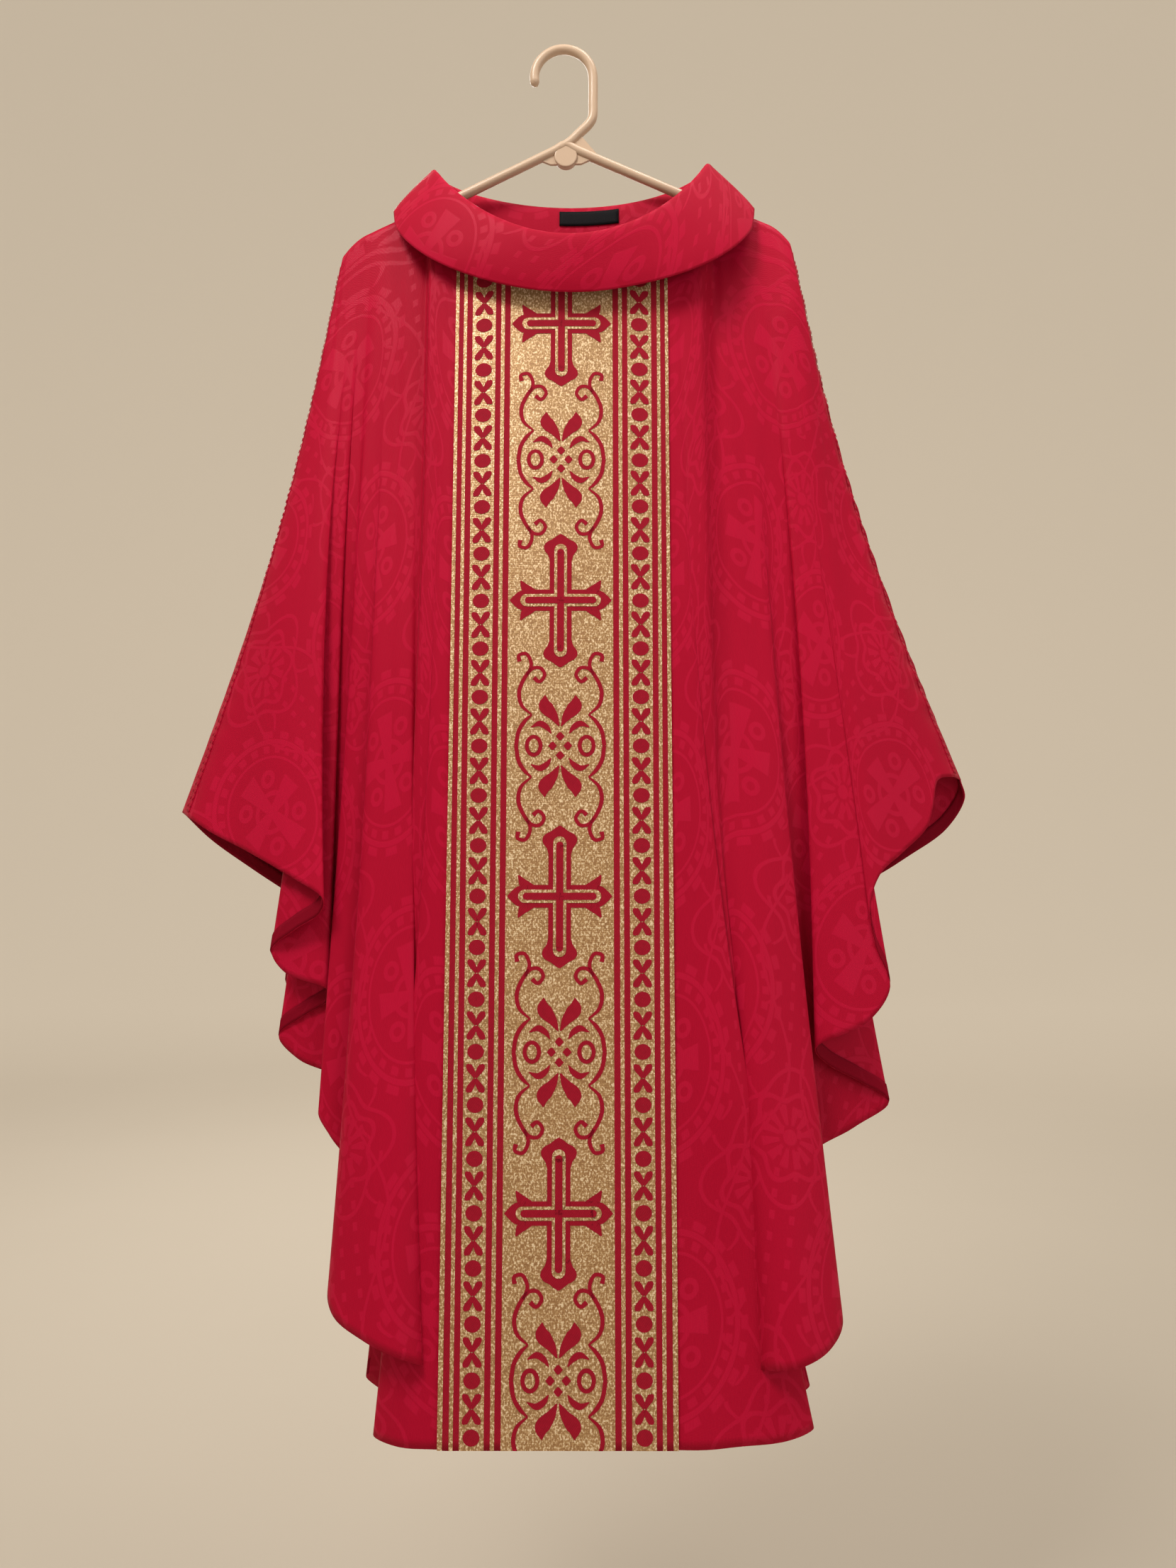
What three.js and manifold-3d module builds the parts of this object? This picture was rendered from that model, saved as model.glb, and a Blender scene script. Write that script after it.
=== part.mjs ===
// A Gothic chasuble with a roll collar and woven orphreys, hanging on its moulded tubular hanger.
// Millimetres, +Z up, -Y is the front and +X the viewer's right. The origin is the underside of the
// hook's crown, where a rail or a wall hook carries the hanger.
import * as THREE from "three";
import { mergeVertices } from "three/addons/utils/BufferGeometryUtils.js";
import Module from "manifold-3d";

// ---- Driving dimensions -------------------------------------------------------------------------

const GAP = 0.35; // left between pieces that touch
const FRONT = -1; // the way the front faces along Y
const BACK = 1;

// The hanger, a one-piece moulding.
const TUBE_RADIUS = 4.2;
const HOOK_RADIUS = 27; // of the crown's centreline
const HOOK_TIP_ANGLE = 186; // degrees round the crown from the stem's side
const STEM_DROP = 44; // straight stretch below the crown
const APEX = new THREE.Vector2(0, -87); // where the arms meet, as x and z
const ARM_SPAN = 199; // from the middle to the arms' ends
const ARM_SLOPE = 25.2; // degrees below level
const BAR_DROP = 24; // from the arms' ends to the lower bar
const BOSS_RADIUS = 10;
const BOSS_THICKNESS = 7;
const WEB_THICKNESS = 3.2;
const HANG_TILT = 1.5; // degrees that the hanger leans on its hook, viewer's right side up

// The cloth.
const CLOTH = 1.2; // the damask, with its seam allowances
const BAND = 0.9; // the orphrey
const CANVAS = 0.6; // interlining and interfacing
const ORPHREY_WIDTH = 185;
const HEM_TURN = 12; // width of the turned-up hem
const SEAM_WIDTH = 8; // the strip that covers each shoulder seam
const FRONT_HEM_Z = -1190;
const BACK_HEM_DROP = 5; // of the back's hem below the front's
const FRONT_HEM_DEPTH = 126; // how far the front hem stands forward of the hanger
const BACK_HEM_DEPTH = 22;
const PLEAT_DEPTH = 9; // of the shallow flutes beside the orphrey
const PLEATS = 3; // on each side

// The neck and its collar.
const NECK_HALF_WIDTH = 128;
const NECK_FRONT_DROP = 100; // of the neckline below the shoulder
const NECK_BACK_DROP = 34;
const NECK_FRONT_DEPTH = 44;
const NECK_BACK_DEPTH = 14;
const COLLAR_FALL = 52; // the height of the turned-down part
const ROLL_GAP = 13; // between the collar's stand and its fall
const LABEL_WIDTH = 54;
const LABEL_OFFSET = 23; // the label sits off centre
const COLLAR_LIFT = TUBE_RADIUS + 1.8; // of the collar's lower edge above the neckline

// Each side's silhouette: the wrist, and the hem's outline from there to the corner of the lower hem,
// which lies a rise above the hem's middle.
const SIDES = {
  left: {
    sign: -1,
    rise: 6,
    wrist: [-338, -696],
    hem: [
      [-254, -745],
      [-238, -860],
      [-200, -966],
      [-180, -1060],
      [-148, -1184],
    ],
  },
  right: {
    sign: 1,
    rise: 10,
    wrist: [352, -674],
    hem: [
      [268, -748],
      [264, -905],
      [228, -975],
      [219, -1086],
      [198, -1180],
    ],
  },
};

// ---- Solids from grids of points ----------------------------------------------------------------

const wasm = await Module();
wasm.setup();

const mix = THREE.MathUtils.lerp;
const radians = THREE.MathUtils.degToRad;

// The unit normals of a grid of points, which point to the left of the rows as seen down the columns.
function normalsOf(grid, loop) {
  const columns = grid.length;
  const rows = grid[0].length;
  const at = (i, j) => grid[loop ? (i + columns) % columns : THREE.MathUtils.clamp(i, 0, columns - 1)][
    THREE.MathUtils.clamp(j, 0, rows - 1)
  ];
  return grid.map((column, i) =>
    column.map((_, j) => {
      const across = at(i + 1, j).clone().sub(at(i - 1, j));
      const down = at(i, j + 1).clone().sub(at(i, j - 1));
      return across.cross(down).normalize();
    }),
  );
}

// One closed layer of cloth on a grid[column][row] of points: it fills from inner to outer along the
// normals. With loop, the last column meets the first.
function layer(grid, inner, outer, loop = false) {
  const columns = grid.length;
  const rows = grid[0].length;
  const normals = normalsOf(grid, loop);
  const positions = [];
  for (const offset of [inner, outer]) {
    grid.forEach((column, i) =>
      column.forEach((p, j) => {
        const q = p.clone().addScaledVector(normals[i][j], offset);
        positions.push(q.x, q.y, q.z);
      }),
    );
  }
  const under = (i, j) => (i % columns) * rows + j;
  const over = (i, j) => columns * rows + under(i, j);
  const faces = [];
  const quad = (a, b, c, d) => faces.push(a, b, c, a, c, d);
  const spans = loop ? columns : columns - 1;
  for (let i = 0; i < spans; i++) {
    for (let j = 0; j < rows - 1; j++) {
      quad(over(i, j), over(i + 1, j), over(i + 1, j + 1), over(i, j + 1));
      quad(under(i, j), under(i, j + 1), under(i + 1, j + 1), under(i + 1, j));
    }
    quad(under(i, 0), under(i + 1, 0), over(i + 1, 0), over(i, 0));
    quad(over(i, rows - 1), over(i + 1, rows - 1), under(i + 1, rows - 1), under(i, rows - 1));
  }
  if (!loop) {
    for (let j = 0; j < rows - 1; j++) {
      quad(under(0, j), over(0, j), over(0, j + 1), under(0, j + 1));
      const last = columns - 1;
      quad(over(last, j), under(last, j), under(last, j + 1), over(last, j + 1));
    }
  }
  const geometry = new THREE.BufferGeometry();
  geometry.setAttribute("position", new THREE.Float32BufferAttribute(positions, 3));
  geometry.setIndex(faces);
  return geometry;
}

// The part of a grid between two columns and two rows, ends included.
const patch = (grid, firstColumn, lastColumn, firstRow = 0, lastRow = grid[0].length - 1) =>
  grid.slice(firstColumn, lastColumn + 1).map((column) => column.slice(firstRow, lastRow + 1));

function toManifold(geometry) {
  const bare = geometry.clone();
  bare.deleteAttribute("normal");
  bare.deleteAttribute("uv");
  const merged = mergeVertices(bare, 1e-4);
  const mesh = new wasm.Mesh({
    numProp: 3,
    vertProperties: new Float32Array(merged.attributes.position.array),
    triVerts: new Uint32Array(merged.index.array),
  });
  return new wasm.Manifold(mesh);
}

function toGeometry(manifold) {
  const mesh = manifold.getMesh();
  const geometry = new THREE.BufferGeometry();
  geometry.setAttribute("position", new THREE.BufferAttribute(mesh.vertProperties, 3));
  geometry.setIndex(new THREE.BufferAttribute(mesh.triVerts, 1));
  return geometry;
}

// A round rod along a curve.
function rod(curve, radius, steps) {
  const section = new THREE.Shape().absarc(0, 0, radius, 0, 2 * Math.PI);
  return new THREE.ExtrudeGeometry(section, { extrudePath: curve, steps, curveSegments: 6 });
}

// ---- Materials ----------------------------------------------------------------------------------

const damask = new THREE.MeshStandardMaterial({ color: 0xb8152f, roughness: 0.6, metalness: 0 });
const lining = new THREE.MeshStandardMaterial({ color: 0x8e1024, roughness: 0.8, metalness: 0 });
const goldBand = new THREE.MeshStandardMaterial({ color: 0xb0905a, roughness: 0.45, metalness: 0.5 });
const canvas = new THREE.MeshStandardMaterial({ color: 0xd8cfbd, roughness: 0.9, metalness: 0 });
const blackTape = new THREE.MeshStandardMaterial({ color: 0x17161a, roughness: 0.7, metalness: 0 });
const ivoryPlastic = new THREE.MeshStandardMaterial({ color: 0xd9bfa2, roughness: 0.35, metalness: 0 });

// ---- The hanger ---------------------------------------------------------------------------------

const armDrop = ARM_SPAN * Math.tan(radians(ARM_SLOPE));
const turned = ([x, z], angle) => new THREE.Vector2(x, z).rotateAround(new THREE.Vector2(), radians(angle));

// The centreline of the hook and stem, before the hanger leans.
function hookLine() {
  const centre = HOOK_RADIUS - TUBE_RADIUS;
  const crown = [];
  for (let angle = HOOK_TIP_ANGLE; angle >= 0; angle -= HOOK_TIP_ANGLE / 12) {
    const a = radians(angle);
    crown.push(new THREE.Vector3(HOOK_RADIUS * Math.cos(a), 0, HOOK_RADIUS * Math.sin(a) - centre));
  }
  const foot = -centre - STEM_DROP;
  const below = [
    [HOOK_RADIUS - 0.8, foot * 0.6],
    [HOOK_RADIUS - 1.8, foot * 0.86],
    [HOOK_RADIUS - 4.5, foot - 1],
    [(HOOK_RADIUS + APEX.x) * 0.48, foot - 8],
    [APEX.x - 2, APEX.y - 1],
  ].map(([x, z]) => new THREE.Vector3(x, 0, z));
  return new THREE.CatmullRomCurve3([...crown, ...below], false, "centripetal");
}

// The centreline of the closed frame: the two arms, their rounded ends and the lower bar.
function frameLine() {
  const endZ = APEX.y - armDrop;
  const round = BAR_DROP / 2;
  const points = [
    [0, APEX.y + 0.5],
    [ARM_SPAN * 0.5, APEX.y - armDrop * 0.5],
    [ARM_SPAN - round * 1.3, endZ + round * 0.55],
    [ARM_SPAN - round * 0.35, endZ],
    [ARM_SPAN, endZ - round * 0.7],
    [ARM_SPAN - round * 0.5, endZ - round * 1.6],
    [ARM_SPAN - round * 1.6, endZ - BAR_DROP],
    [ARM_SPAN * 0.4, endZ - BAR_DROP],
  ];
  const right = points.map(([x, z]) => new THREE.Vector3(x, 0, z));
  const left = points
    .slice(1)
    .reverse()
    .map(([x, z]) => new THREE.Vector3(-x, 0, z));
  return new THREE.CatmullRomCurve3([...right, ...left], true, "centripetal");
}

function hangerGeometry() {
  const boss = new THREE.CylinderGeometry(BOSS_RADIUS, BOSS_RADIUS, BOSS_THICKNESS, 24);
  boss.translate(APEX.x - 2, 0, APEX.y - TUBE_RADIUS - 6);
  const webShape = new THREE.Shape([
    new THREE.Vector2(APEX.x, APEX.y + 3),
    new THREE.Vector2(-24, APEX.y - 11),
    new THREE.Vector2(-9, APEX.y - 17),
    new THREE.Vector2(12, APEX.y - 17),
    new THREE.Vector2(27, APEX.y - 11),
    new THREE.Vector2(HOOK_RADIUS * 0.55, APEX.y + 6),
  ]);
  const web = new THREE.ExtrudeGeometry(webShape, { depth: WEB_THICKNESS, bevelEnabled: false });
  web.rotateX(Math.PI / 2).translate(0, WEB_THICKNESS / 2, 0);
  const tip = new THREE.SphereGeometry(TUBE_RADIUS * 0.99, 12, 8);
  const hook = hookLine();
  const start = hook.getPoint(0);
  tip.translate(start.x, start.y, start.z);
  const whole = [rod(frameLine(), TUBE_RADIUS, 56), rod(hook, TUBE_RADIUS, 26), boss, web, tip]
    .map(toManifold)
    .reduce((a, b) => a.add(b));
  return toGeometry(whole.simplify(GAP / 10)).rotateY(-radians(HANG_TILT));
}

// ---- The body of the chasuble -------------------------------------------------------------------

// The height of the leaning hanger's arm, and of cloth lying on it, above a place across the hanger.
function armHeight(x) {
  const apex = turned([APEX.x, APEX.y], HANG_TILT);
  const slope = ARM_SLOPE - Math.sign(x - apex.x) * HANG_TILT;
  return apex.y - Math.abs(x - apex.x) * Math.tan(radians(slope));
}
const shoulderHeight = (x) => armHeight(x) + TUBE_RADIUS / Math.cos(radians(ARM_SLOPE)) + 2 * GAP;

// The neckline at a place across the hanger, for the front or the back.
function neckline(x, face) {
  const side = Math.sqrt(Math.max(0, 1 - (x / NECK_HALF_WIDTH) ** 2));
  const drop = face === FRONT ? NECK_FRONT_DROP : NECK_BACK_DROP;
  const depth = face === FRONT ? NECK_FRONT_DEPTH : NECK_BACK_DEPTH;
  const share = (x / NECK_HALF_WIDTH + 1) / 2;
  const level = mix(shoulderHeight(-NECK_HALF_WIDTH), shoulderHeight(NECK_HALF_WIDTH), share);
  const sunk = drop * side ** 1.3;
  const away = GAP + Math.max(depth * side ** 0.6, rollOff(sunk + GAP));
  return new THREE.Vector3(x, face * away, level - sunk);
}

// The end of the shoulder, just past the hanger's arm.
function shoulderEnd({ sign }) {
  const arm = turned([sign * ARM_SPAN, APEX.y - armDrop], HANG_TILT);
  return arm.x + sign * (TUBE_RADIUS + 3);
}
const NECK_STEPS = [0.7227, 0.85, 0.94, 0.985, 1]; // places round the side of the neck, of its half width
const SHOULDER_SHARES = [0.4, 0.75, 0.93, 1]; // places along the shoulder, out from the neck

// The top edge from the orphrey's side out to the hanger's end, as a list of points.
function topEdge(side, face) {
  const neck = NECK_STEPS.map((share) => neckline(side.sign * share * NECK_HALF_WIDTH, face));
  neck[0] = neckline((side.sign * ORPHREY_WIDTH) / 2, face);
  const end = shoulderEnd(side);
  for (const share of SHOULDER_SHARES) {
    const x = mix(side.sign * NECK_HALF_WIDTH, end, share);
    neck.push(new THREE.Vector3(x, face * GAP, shoulderHeight(x)));
  }
  return neck;
}

const hemHeight = (face) => (face === FRONT ? FRONT_HEM_Z : FRONT_HEM_Z - BACK_HEM_DROP);
const hemDepth = (face) => (face === FRONT ? FRONT_HEM_DEPTH : BACK_HEM_DEPTH);

// The side's outer edge: down the shoulder fold to the wrist, then along the hem. Half its points each.
function outerEdge(side, face, shares) {
  const end = shoulderEnd(side);
  const [wristX, wristZ] = side.wrist;
  const fold = new THREE.QuadraticBezierCurve(
    new THREE.Vector2(end, shoulderHeight(end)),
    new THREE.Vector2(mix(end, wristX, 0.36), mix(shoulderHeight(end), wristZ, 0.5)),
    new THREE.Vector2(wristX, wristZ),
  );
  const lift = hemHeight(face) - FRONT_HEM_Z;
  const stretch = (FRONT_HEM_Z + side.rise - wristZ) / (side.hem.at(-1)[1] - wristZ);
  const outline = side.hem.map(([x, z]) => new THREE.Vector2(x, mix(wristZ, z, stretch) + lift));
  const hem = new THREE.SplineCurve([new THREE.Vector2(wristX, wristZ), ...outline]);
  const reach = hemDepth(face) * 0.84;
  return shares.map((v) => {
    const flat = v <= 0.5 ? fold.getPoint(v * 2) : hem.getPoint(v * 2 - 1);
    const depth = v <= 0.5 ? 0 : reach * (v * 2 - 1) ** 1.1;
    return new THREE.Vector3(flat.x, face * (GAP + depth), flat.y);
  });
}

// Shares of the way down each column. The first few roll the cloth over the hanger's arm, and the last
// but one is where the hem's turning ends.
const ROLL_SHARES = [0, 0.0015, 0.006];
const turnShare = 1 - HEM_TURN / Math.abs(FRONT_HEM_Z - neckline(0, FRONT).z);
const BODY_ROWS = 16;
const ROWS = [
  ...ROLL_SHARES,
  ...Array.from({ length: BODY_ROWS }, (_, k) => mix(0.025, turnShare, k / (BODY_ROWS - 1))).map((v) =>
    Math.abs(v - 0.5) < 0.03 ? 0.5 : v,
  ),
  1,
];

// How far the cloth stands off the arm's middle plane, at a drop below the top of the shoulder.
function rollOff(drop) {
  const radius = TUBE_RADIUS + 1.4;
  return radius * Math.sqrt(1 - (1 - Math.min(1, drop / radius)) ** 2);
}

function centreColumn(x, face) {
  const top = neckline(x, face);
  return ROWS.map(
    (v) =>
      new THREE.Vector3(x, mix(top.y, face * hemDepth(face), v), mix(top.z, hemHeight(face), v)),
  );
}

// One side of the front or back, as columns from the orphrey's edge outwards: a patch spanned by its
// four edges, rolled over the arm and fluted.
function sideColumns(side, face) {
  const top = topEdge(side, face);
  const inner = centreColumn((side.sign * ORPHREY_WIDTH) / 2, face);
  const outer = outerEdge(side, face, ROWS);
  const across = top.length - 1;
  return top.map((edge, k) => {
    const w = k / across;
    return ROWS.map((v, j) => {
      const p = inner[j].clone().lerp(outer[j], w);
      const corner = inner[0].clone().lerp(outer[0], w);
      p.addScaledVector(edge.clone().sub(corner), 1 - v);
      if (j > 0 && k < across) {
        const onArm = THREE.MathUtils.smoothstep(k, NECK_STEPS.length - 3, NECK_STEPS.length - 1);
        const flute = Math.sin(Math.PI * w) * Math.cos(2 * Math.PI * PLEATS * w) * PLEAT_DEPTH * v;
        const roll = rollOff(edge.z - p.z) * onArm;
        p.y += face * (roll + (face === FRONT ? flute : flute * 0.25));
      }
      return p;
    });
  });
}

const CENTRE_X = [-0.5, 0, 0.5].map((share) => (share * ORPHREY_WIDTH) / 2);

// All the columns of the front or back. They run so that the normals point out of the garment.
function bodyGrid(face) {
  const left = sideColumns(SIDES.left, face).reverse();
  const right = sideColumns(SIDES.right, face);
  const grid = [...left, ...CENTRE_X.map((x) => centreColumn(x, face)), ...right];
  return face === FRONT ? grid.reverse() : grid;
}

const frontGrid = bodyGrid(FRONT);
const backGrid = bodyGrid(BACK);
const SIDE_COLUMNS = topEdge(SIDES.left, FRONT).length;
const bandColumns = [SIDE_COLUMNS - 1, SIDE_COLUMNS + CENTRE_X.length];
const lastRow = ROWS.length - 1;
const NECK_FACING = [bandColumns[0] - 2, bandColumns[1] + 2];

const panel = (grid) => layer(grid, 0, CLOTH);
const hemTurning = (grid) => layer(patch(grid, 1, grid.length - 2, lastRow - 1), -GAP - CLOTH * 0.6, -GAP);
const interlining = (grid) =>
  layer(patch(grid, ...bandColumns), CLOTH + GAP, CLOTH + GAP + CANVAS);
const orphrey = (grid) =>
  layer(patch(grid, ...bandColumns), CLOTH + 2 * GAP + CANVAS, CLOTH + 2 * GAP + CANVAS + BAND);

// The facing inside the neckline, clear of the hanger's arms.
const neckFacing = (grid) =>
  layer(patch(grid, NECK_FACING[0], NECK_FACING[1], 0, ROLL_SHARES.length), -GAP - CANVAS, -GAP);

// The felled seam along one shoulder fold, from the neck out to the wrist.
function shoulderSeam(side) {
  const top = topEdge(side, FRONT).slice(NECK_STEPS.length - 1);
  const fold = outerEdge(side, FRONT, ROWS.filter((v) => v > 0.02 && v <= 0.5));
  const line = [...top, ...fold].map((p) => new THREE.Vector3(p.x, 0, p.z));
  const away = 2 * CLOTH + GAP; // clear of both panels' thickness
  const half = SEAM_WIDTH / 2;
  const grid = line.map((p, k) => {
    const next = line[Math.min(k + 1, line.length - 1)];
    const before = line[Math.max(k - 1, 0)];
    const along = next.clone().sub(before).normalize();
    const outward = new THREE.Vector3(-along.z, 0, along.x).multiplyScalar(side.sign);
    const centre = p.clone().addScaledVector(outward, away);
    return [-half, half].map((y) => new THREE.Vector3(centre.x, y * side.sign, centre.z));
  });
  return layer(grid, 0, CLOTH);
}

// ---- The collar ---------------------------------------------------------------------------------

const COLLAR_COLUMNS = 36;
const UNDER_TOP = 2.5 * GAP + CANVAS; // from the collar's outer cloth down to its under layer
const COLLAR_LAYERS = UNDER_TOP + CLOTH * 0.6;

// The neckline as a ring, at a turn round it from the viewer's right through the back.
function neckPoint(turn) {
  const face = Math.sin(turn) >= 0 ? BACK : FRONT;
  const depth = face === FRONT ? NECK_FRONT_DEPTH : NECK_BACK_DEPTH;
  const neck = neckline(NECK_HALF_WIDTH * Math.cos(turn), face);
  return neck.setY(face * depth * Math.abs(Math.sin(turn)) ** 0.75);
}

// The collar's roll line above the neckline: high at the sides, lower at the back and lowest in front.
function rollPoint(turn) {
  const neck = neckPoint(turn);
  const frontness = Math.max(0, -Math.sin(turn));
  const rise = mix(mix(24, 34, Math.abs(Math.sin(turn))), 32, frontness ** 1.5);
  const half = NECK_HALF_WIDTH - 5;
  return new THREE.Vector3(half * Math.cos(turn), neck.y * 0.9 - 1.5 * Math.sin(turn), neck.z + rise);
}

// The lower edge of the turned-down part.
function fallPoint(turn) {
  const roll = rollPoint(turn);
  const frontness = Math.max(0, -Math.sin(turn));
  const spread = 37 * Math.abs(Math.cos(turn)) ** 1.5;
  const drop = Math.sqrt(COLLAR_FALL ** 2 - spread ** 2 * 0.9);
  const out = mix(8, 21, frontness);
  return new THREE.Vector3(
    roll.x + Math.sign(Math.cos(turn)) * spread,
    roll.y + out * Math.sin(turn),
    roll.z - drop,
  );
}

// A section of the collar: up the inside from the neckline, over the roll and down the outside.
function collarSection(turn) {
  const neck = neckPoint(turn);
  const roll = rollPoint(turn);
  const fall = fallPoint(turn);
  const outward = new THREE.Vector3(Math.cos(turn), Math.sin(turn) * 0.8, 0);
  const along = (a, b, share, out, up = 0) =>
    a.clone().lerp(b, share).addScaledVector(outward, out).setZ(mix(a.z, b.z, share) + up);
  const fallen = [
    along(roll, fall, 0.06, ROLL_GAP),
    along(roll, fall, 0.5, ROLL_GAP * 1.1),
    along(roll, fall, 1, ROLL_GAP * 0.7),
  ];
  return [
    along(neck, roll, 0, 0, COLLAR_LIFT),
    along(neck, roll, 0.6, -1),
    along(neck, roll, 1, ROLL_GAP * 0.04, -2),
    along(neck, roll, 1, ROLL_GAP * 0.5, 3),
    ...fallen.map(clearOfShoulder),
  ];
}

// The point, raised if need be so that the collar's layers lie on top of the shoulder's fold.
function clearOfShoulder(p) {
  const { smoothstep } = THREE.MathUtils;
  const beside = smoothstep(Math.abs(p.x), NECK_HALF_WIDTH * 0.86, NECK_HALF_WIDTH * 0.99);
  const onFold = beside * (1 - smoothstep(Math.abs(p.y), TUBE_RADIUS + 8, TUBE_RADIUS + 17));
  const top = shoulderHeight(p.x) + COLLAR_LAYERS + 3 * CLOTH + 7;
  return p.setZ(mix(p.z, Math.max(p.z, top), onFold));
}

const collarGrid = Array.from({ length: COLLAR_COLUMNS }, (_, k) =>
  collarSection((-2 * Math.PI * k) / COLLAR_COLUMNS),
);

// The blank label, sewn inside the collar behind the neck.
function labelGrid() {
  return [0.5, 0.25, 0, -0.25, -0.5].map((share) => {
    const x = LABEL_OFFSET - share * LABEL_WIDTH;
    const [low, high] = collarSection(Math.acos(x / NECK_HALF_WIDTH));
    return [0.06, 0.94].map((v) => low.clone().lerp(high, v));
  });
}

// ---- The assembly -------------------------------------------------------------------------------

const group = new THREE.Group();

function add(name, geometry, material) {
  const mesh = new THREE.Mesh(geometry, material);
  mesh.name = name;
  group.add(mesh);
}

add("hanger", hangerGeometry(), ivoryPlastic);
add("front_panel", panel(frontGrid), damask);
add("back_panel", panel(backGrid), damask);
add("front_hem_turning", hemTurning(frontGrid), lining);
add("back_hem_turning", hemTurning(backGrid), lining);
add("front_orphrey_interlining", interlining(frontGrid), canvas);
add("back_orphrey_interlining", interlining(backGrid), canvas);
add("front_orphrey", orphrey(frontGrid), goldBand);
add("back_orphrey", orphrey(backGrid), goldBand);
add("left_shoulder_seam", shoulderSeam(SIDES.left), damask);
add("right_shoulder_seam", shoulderSeam(SIDES.right), damask);
add("front_neck_facing", neckFacing(frontGrid), lining);
add("back_neck_facing", neckFacing(backGrid), lining);
add("collar_outer", layer(collarGrid, 0, CLOTH, true), damask);
add("collar_interlining", layer(collarGrid, -GAP - CANVAS, -GAP, true), canvas);
add("collar_under", layer(collarGrid, -COLLAR_LAYERS, -UNDER_TOP, true), lining);
add("neck_label", layer(labelGrid(), CLOTH + 2 * GAP, CLOTH + 2 * GAP + CANVAS), blackTape);

export default group;
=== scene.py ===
"""A Gothic chasuble of patterned red damask with a roll collar and woven orphreys, on its moulded hanger.

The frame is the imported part's: metres, +Z up, -Y is the front, and the origin is the underside of the
hook's crown. Sizes in the dataclasses below are millimetres.
"""

from __future__ import annotations

import logging
import math
from collections.abc import Sequence
from dataclasses import dataclass, field
from enum import Enum

import bmesh
import bpy
import numpy as np
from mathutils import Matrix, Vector, noise


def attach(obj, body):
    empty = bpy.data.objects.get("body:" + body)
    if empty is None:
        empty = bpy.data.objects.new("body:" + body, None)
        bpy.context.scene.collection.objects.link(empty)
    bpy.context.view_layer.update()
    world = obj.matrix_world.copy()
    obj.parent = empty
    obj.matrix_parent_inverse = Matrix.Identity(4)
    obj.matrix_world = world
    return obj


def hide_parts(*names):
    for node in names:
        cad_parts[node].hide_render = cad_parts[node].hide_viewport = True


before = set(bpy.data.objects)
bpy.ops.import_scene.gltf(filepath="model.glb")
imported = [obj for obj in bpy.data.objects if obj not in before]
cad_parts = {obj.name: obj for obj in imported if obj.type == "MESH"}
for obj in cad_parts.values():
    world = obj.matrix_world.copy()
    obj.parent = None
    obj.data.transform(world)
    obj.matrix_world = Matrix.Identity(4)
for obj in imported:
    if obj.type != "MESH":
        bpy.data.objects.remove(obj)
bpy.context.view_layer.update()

log = logging.getLogger("chasuble")
MM = 0.001


class Side(Enum):
    """Which side of the wearer's front a piece is on, as the viewer sees it."""

    LEFT = -1
    RIGHT = 1


class Face(Enum):
    """The front or the back, as the direction it looks along Y."""

    FRONT = -1
    BACK = 1


# ---- Sizes ---------------------------------------------------------------------------------------


@dataclass(frozen=True)
class HangerSize:
    """The one-piece moulded hanger."""

    tube: float = 4.3
    hook_radius: float = 27.0
    stem: float = 44.0
    apex_z: float = -87.0
    half_span: float = 192.0
    slope: float = 25.2
    bar_drop: float = 24.0
    boss_radius: float = 10.5
    boss_thickness: float = 7.0
    web: float = 3.0
    lean: float = 1.5
    cloth_gap: float = 0.8

    @property
    def arm_drop(self) -> float:
        """How far the arms' ends lie below the apex."""
        return self.half_span * math.tan(math.radians(self.slope))

    def leant(self, x: float, z: float) -> tuple[float, float]:
        """Turns a point by the hanger's lean on its hook.

        Args:
            x: Place across the hanger.
            z: Height.

        Returns:
            The turned place and height.
        """
        a = math.radians(self.lean)
        return x * math.cos(a) - z * math.sin(a), x * math.sin(a) + z * math.cos(a)

    def top_at(self, x: float) -> float:
        """The height of cloth that lies over the arm.

        Args:
            x: Place across the hanger.

        Returns:
            The height of the arm's top there.
        """
        ax, az = self.leant(0.0, self.apex_z)
        slope = self.slope - math.copysign(self.lean, x - ax)
        fall, rise = math.tan(math.radians(slope)), self.tube / math.cos(math.radians(slope))
        return az - abs(x - ax) * fall + rise + self.cloth_gap


@dataclass(frozen=True)
class ClothSize:
    """Thicknesses of the layers and their spacing."""

    damask: float = 1.0
    band: float = 0.7
    canvas: float = 0.5
    gap: float = 0.35
    relief: float = 0.3


@dataclass(frozen=True)
class NeckSize:
    """The neckline of the body."""

    half_width: float = 126.0
    centre: float = 4.0
    front_drop: float = 102.0
    back_drop: float = 36.0
    front_depth: float = 46.0
    back_depth: float = 13.0


@dataclass(frozen=True)
class CollarSize:
    """The roll collar: its crest, then the lower edge of its fall."""

    crest_half: float = 122.0
    crest_centre: float = 7.5
    side_z: float = -112.0
    side_tilt: float = 3.0
    front_z: float = -206.0
    back_z: float = -138.0
    front_y: float = -63.0
    back_y: float = 16.0
    crest_dip: float = 1.5
    edge_half: float = 160.0
    edge_centre: float = 10.5
    edge_front_z: float = -253.0
    edge_back_z: float = -192.0
    edge_side_z: float = -159.0
    edge_front_y: float = -59.0
    edge_back_y: float = 25.0
    edge_dip: float = 1.15
    edge_over_arm: float = 5.5
    roll: float = 6.5
    columns: int = 144
    label: tuple[float, float] = (55.0, 14.0)
    label_x: float = 24.0
    label_drop: float = 10.0


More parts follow.
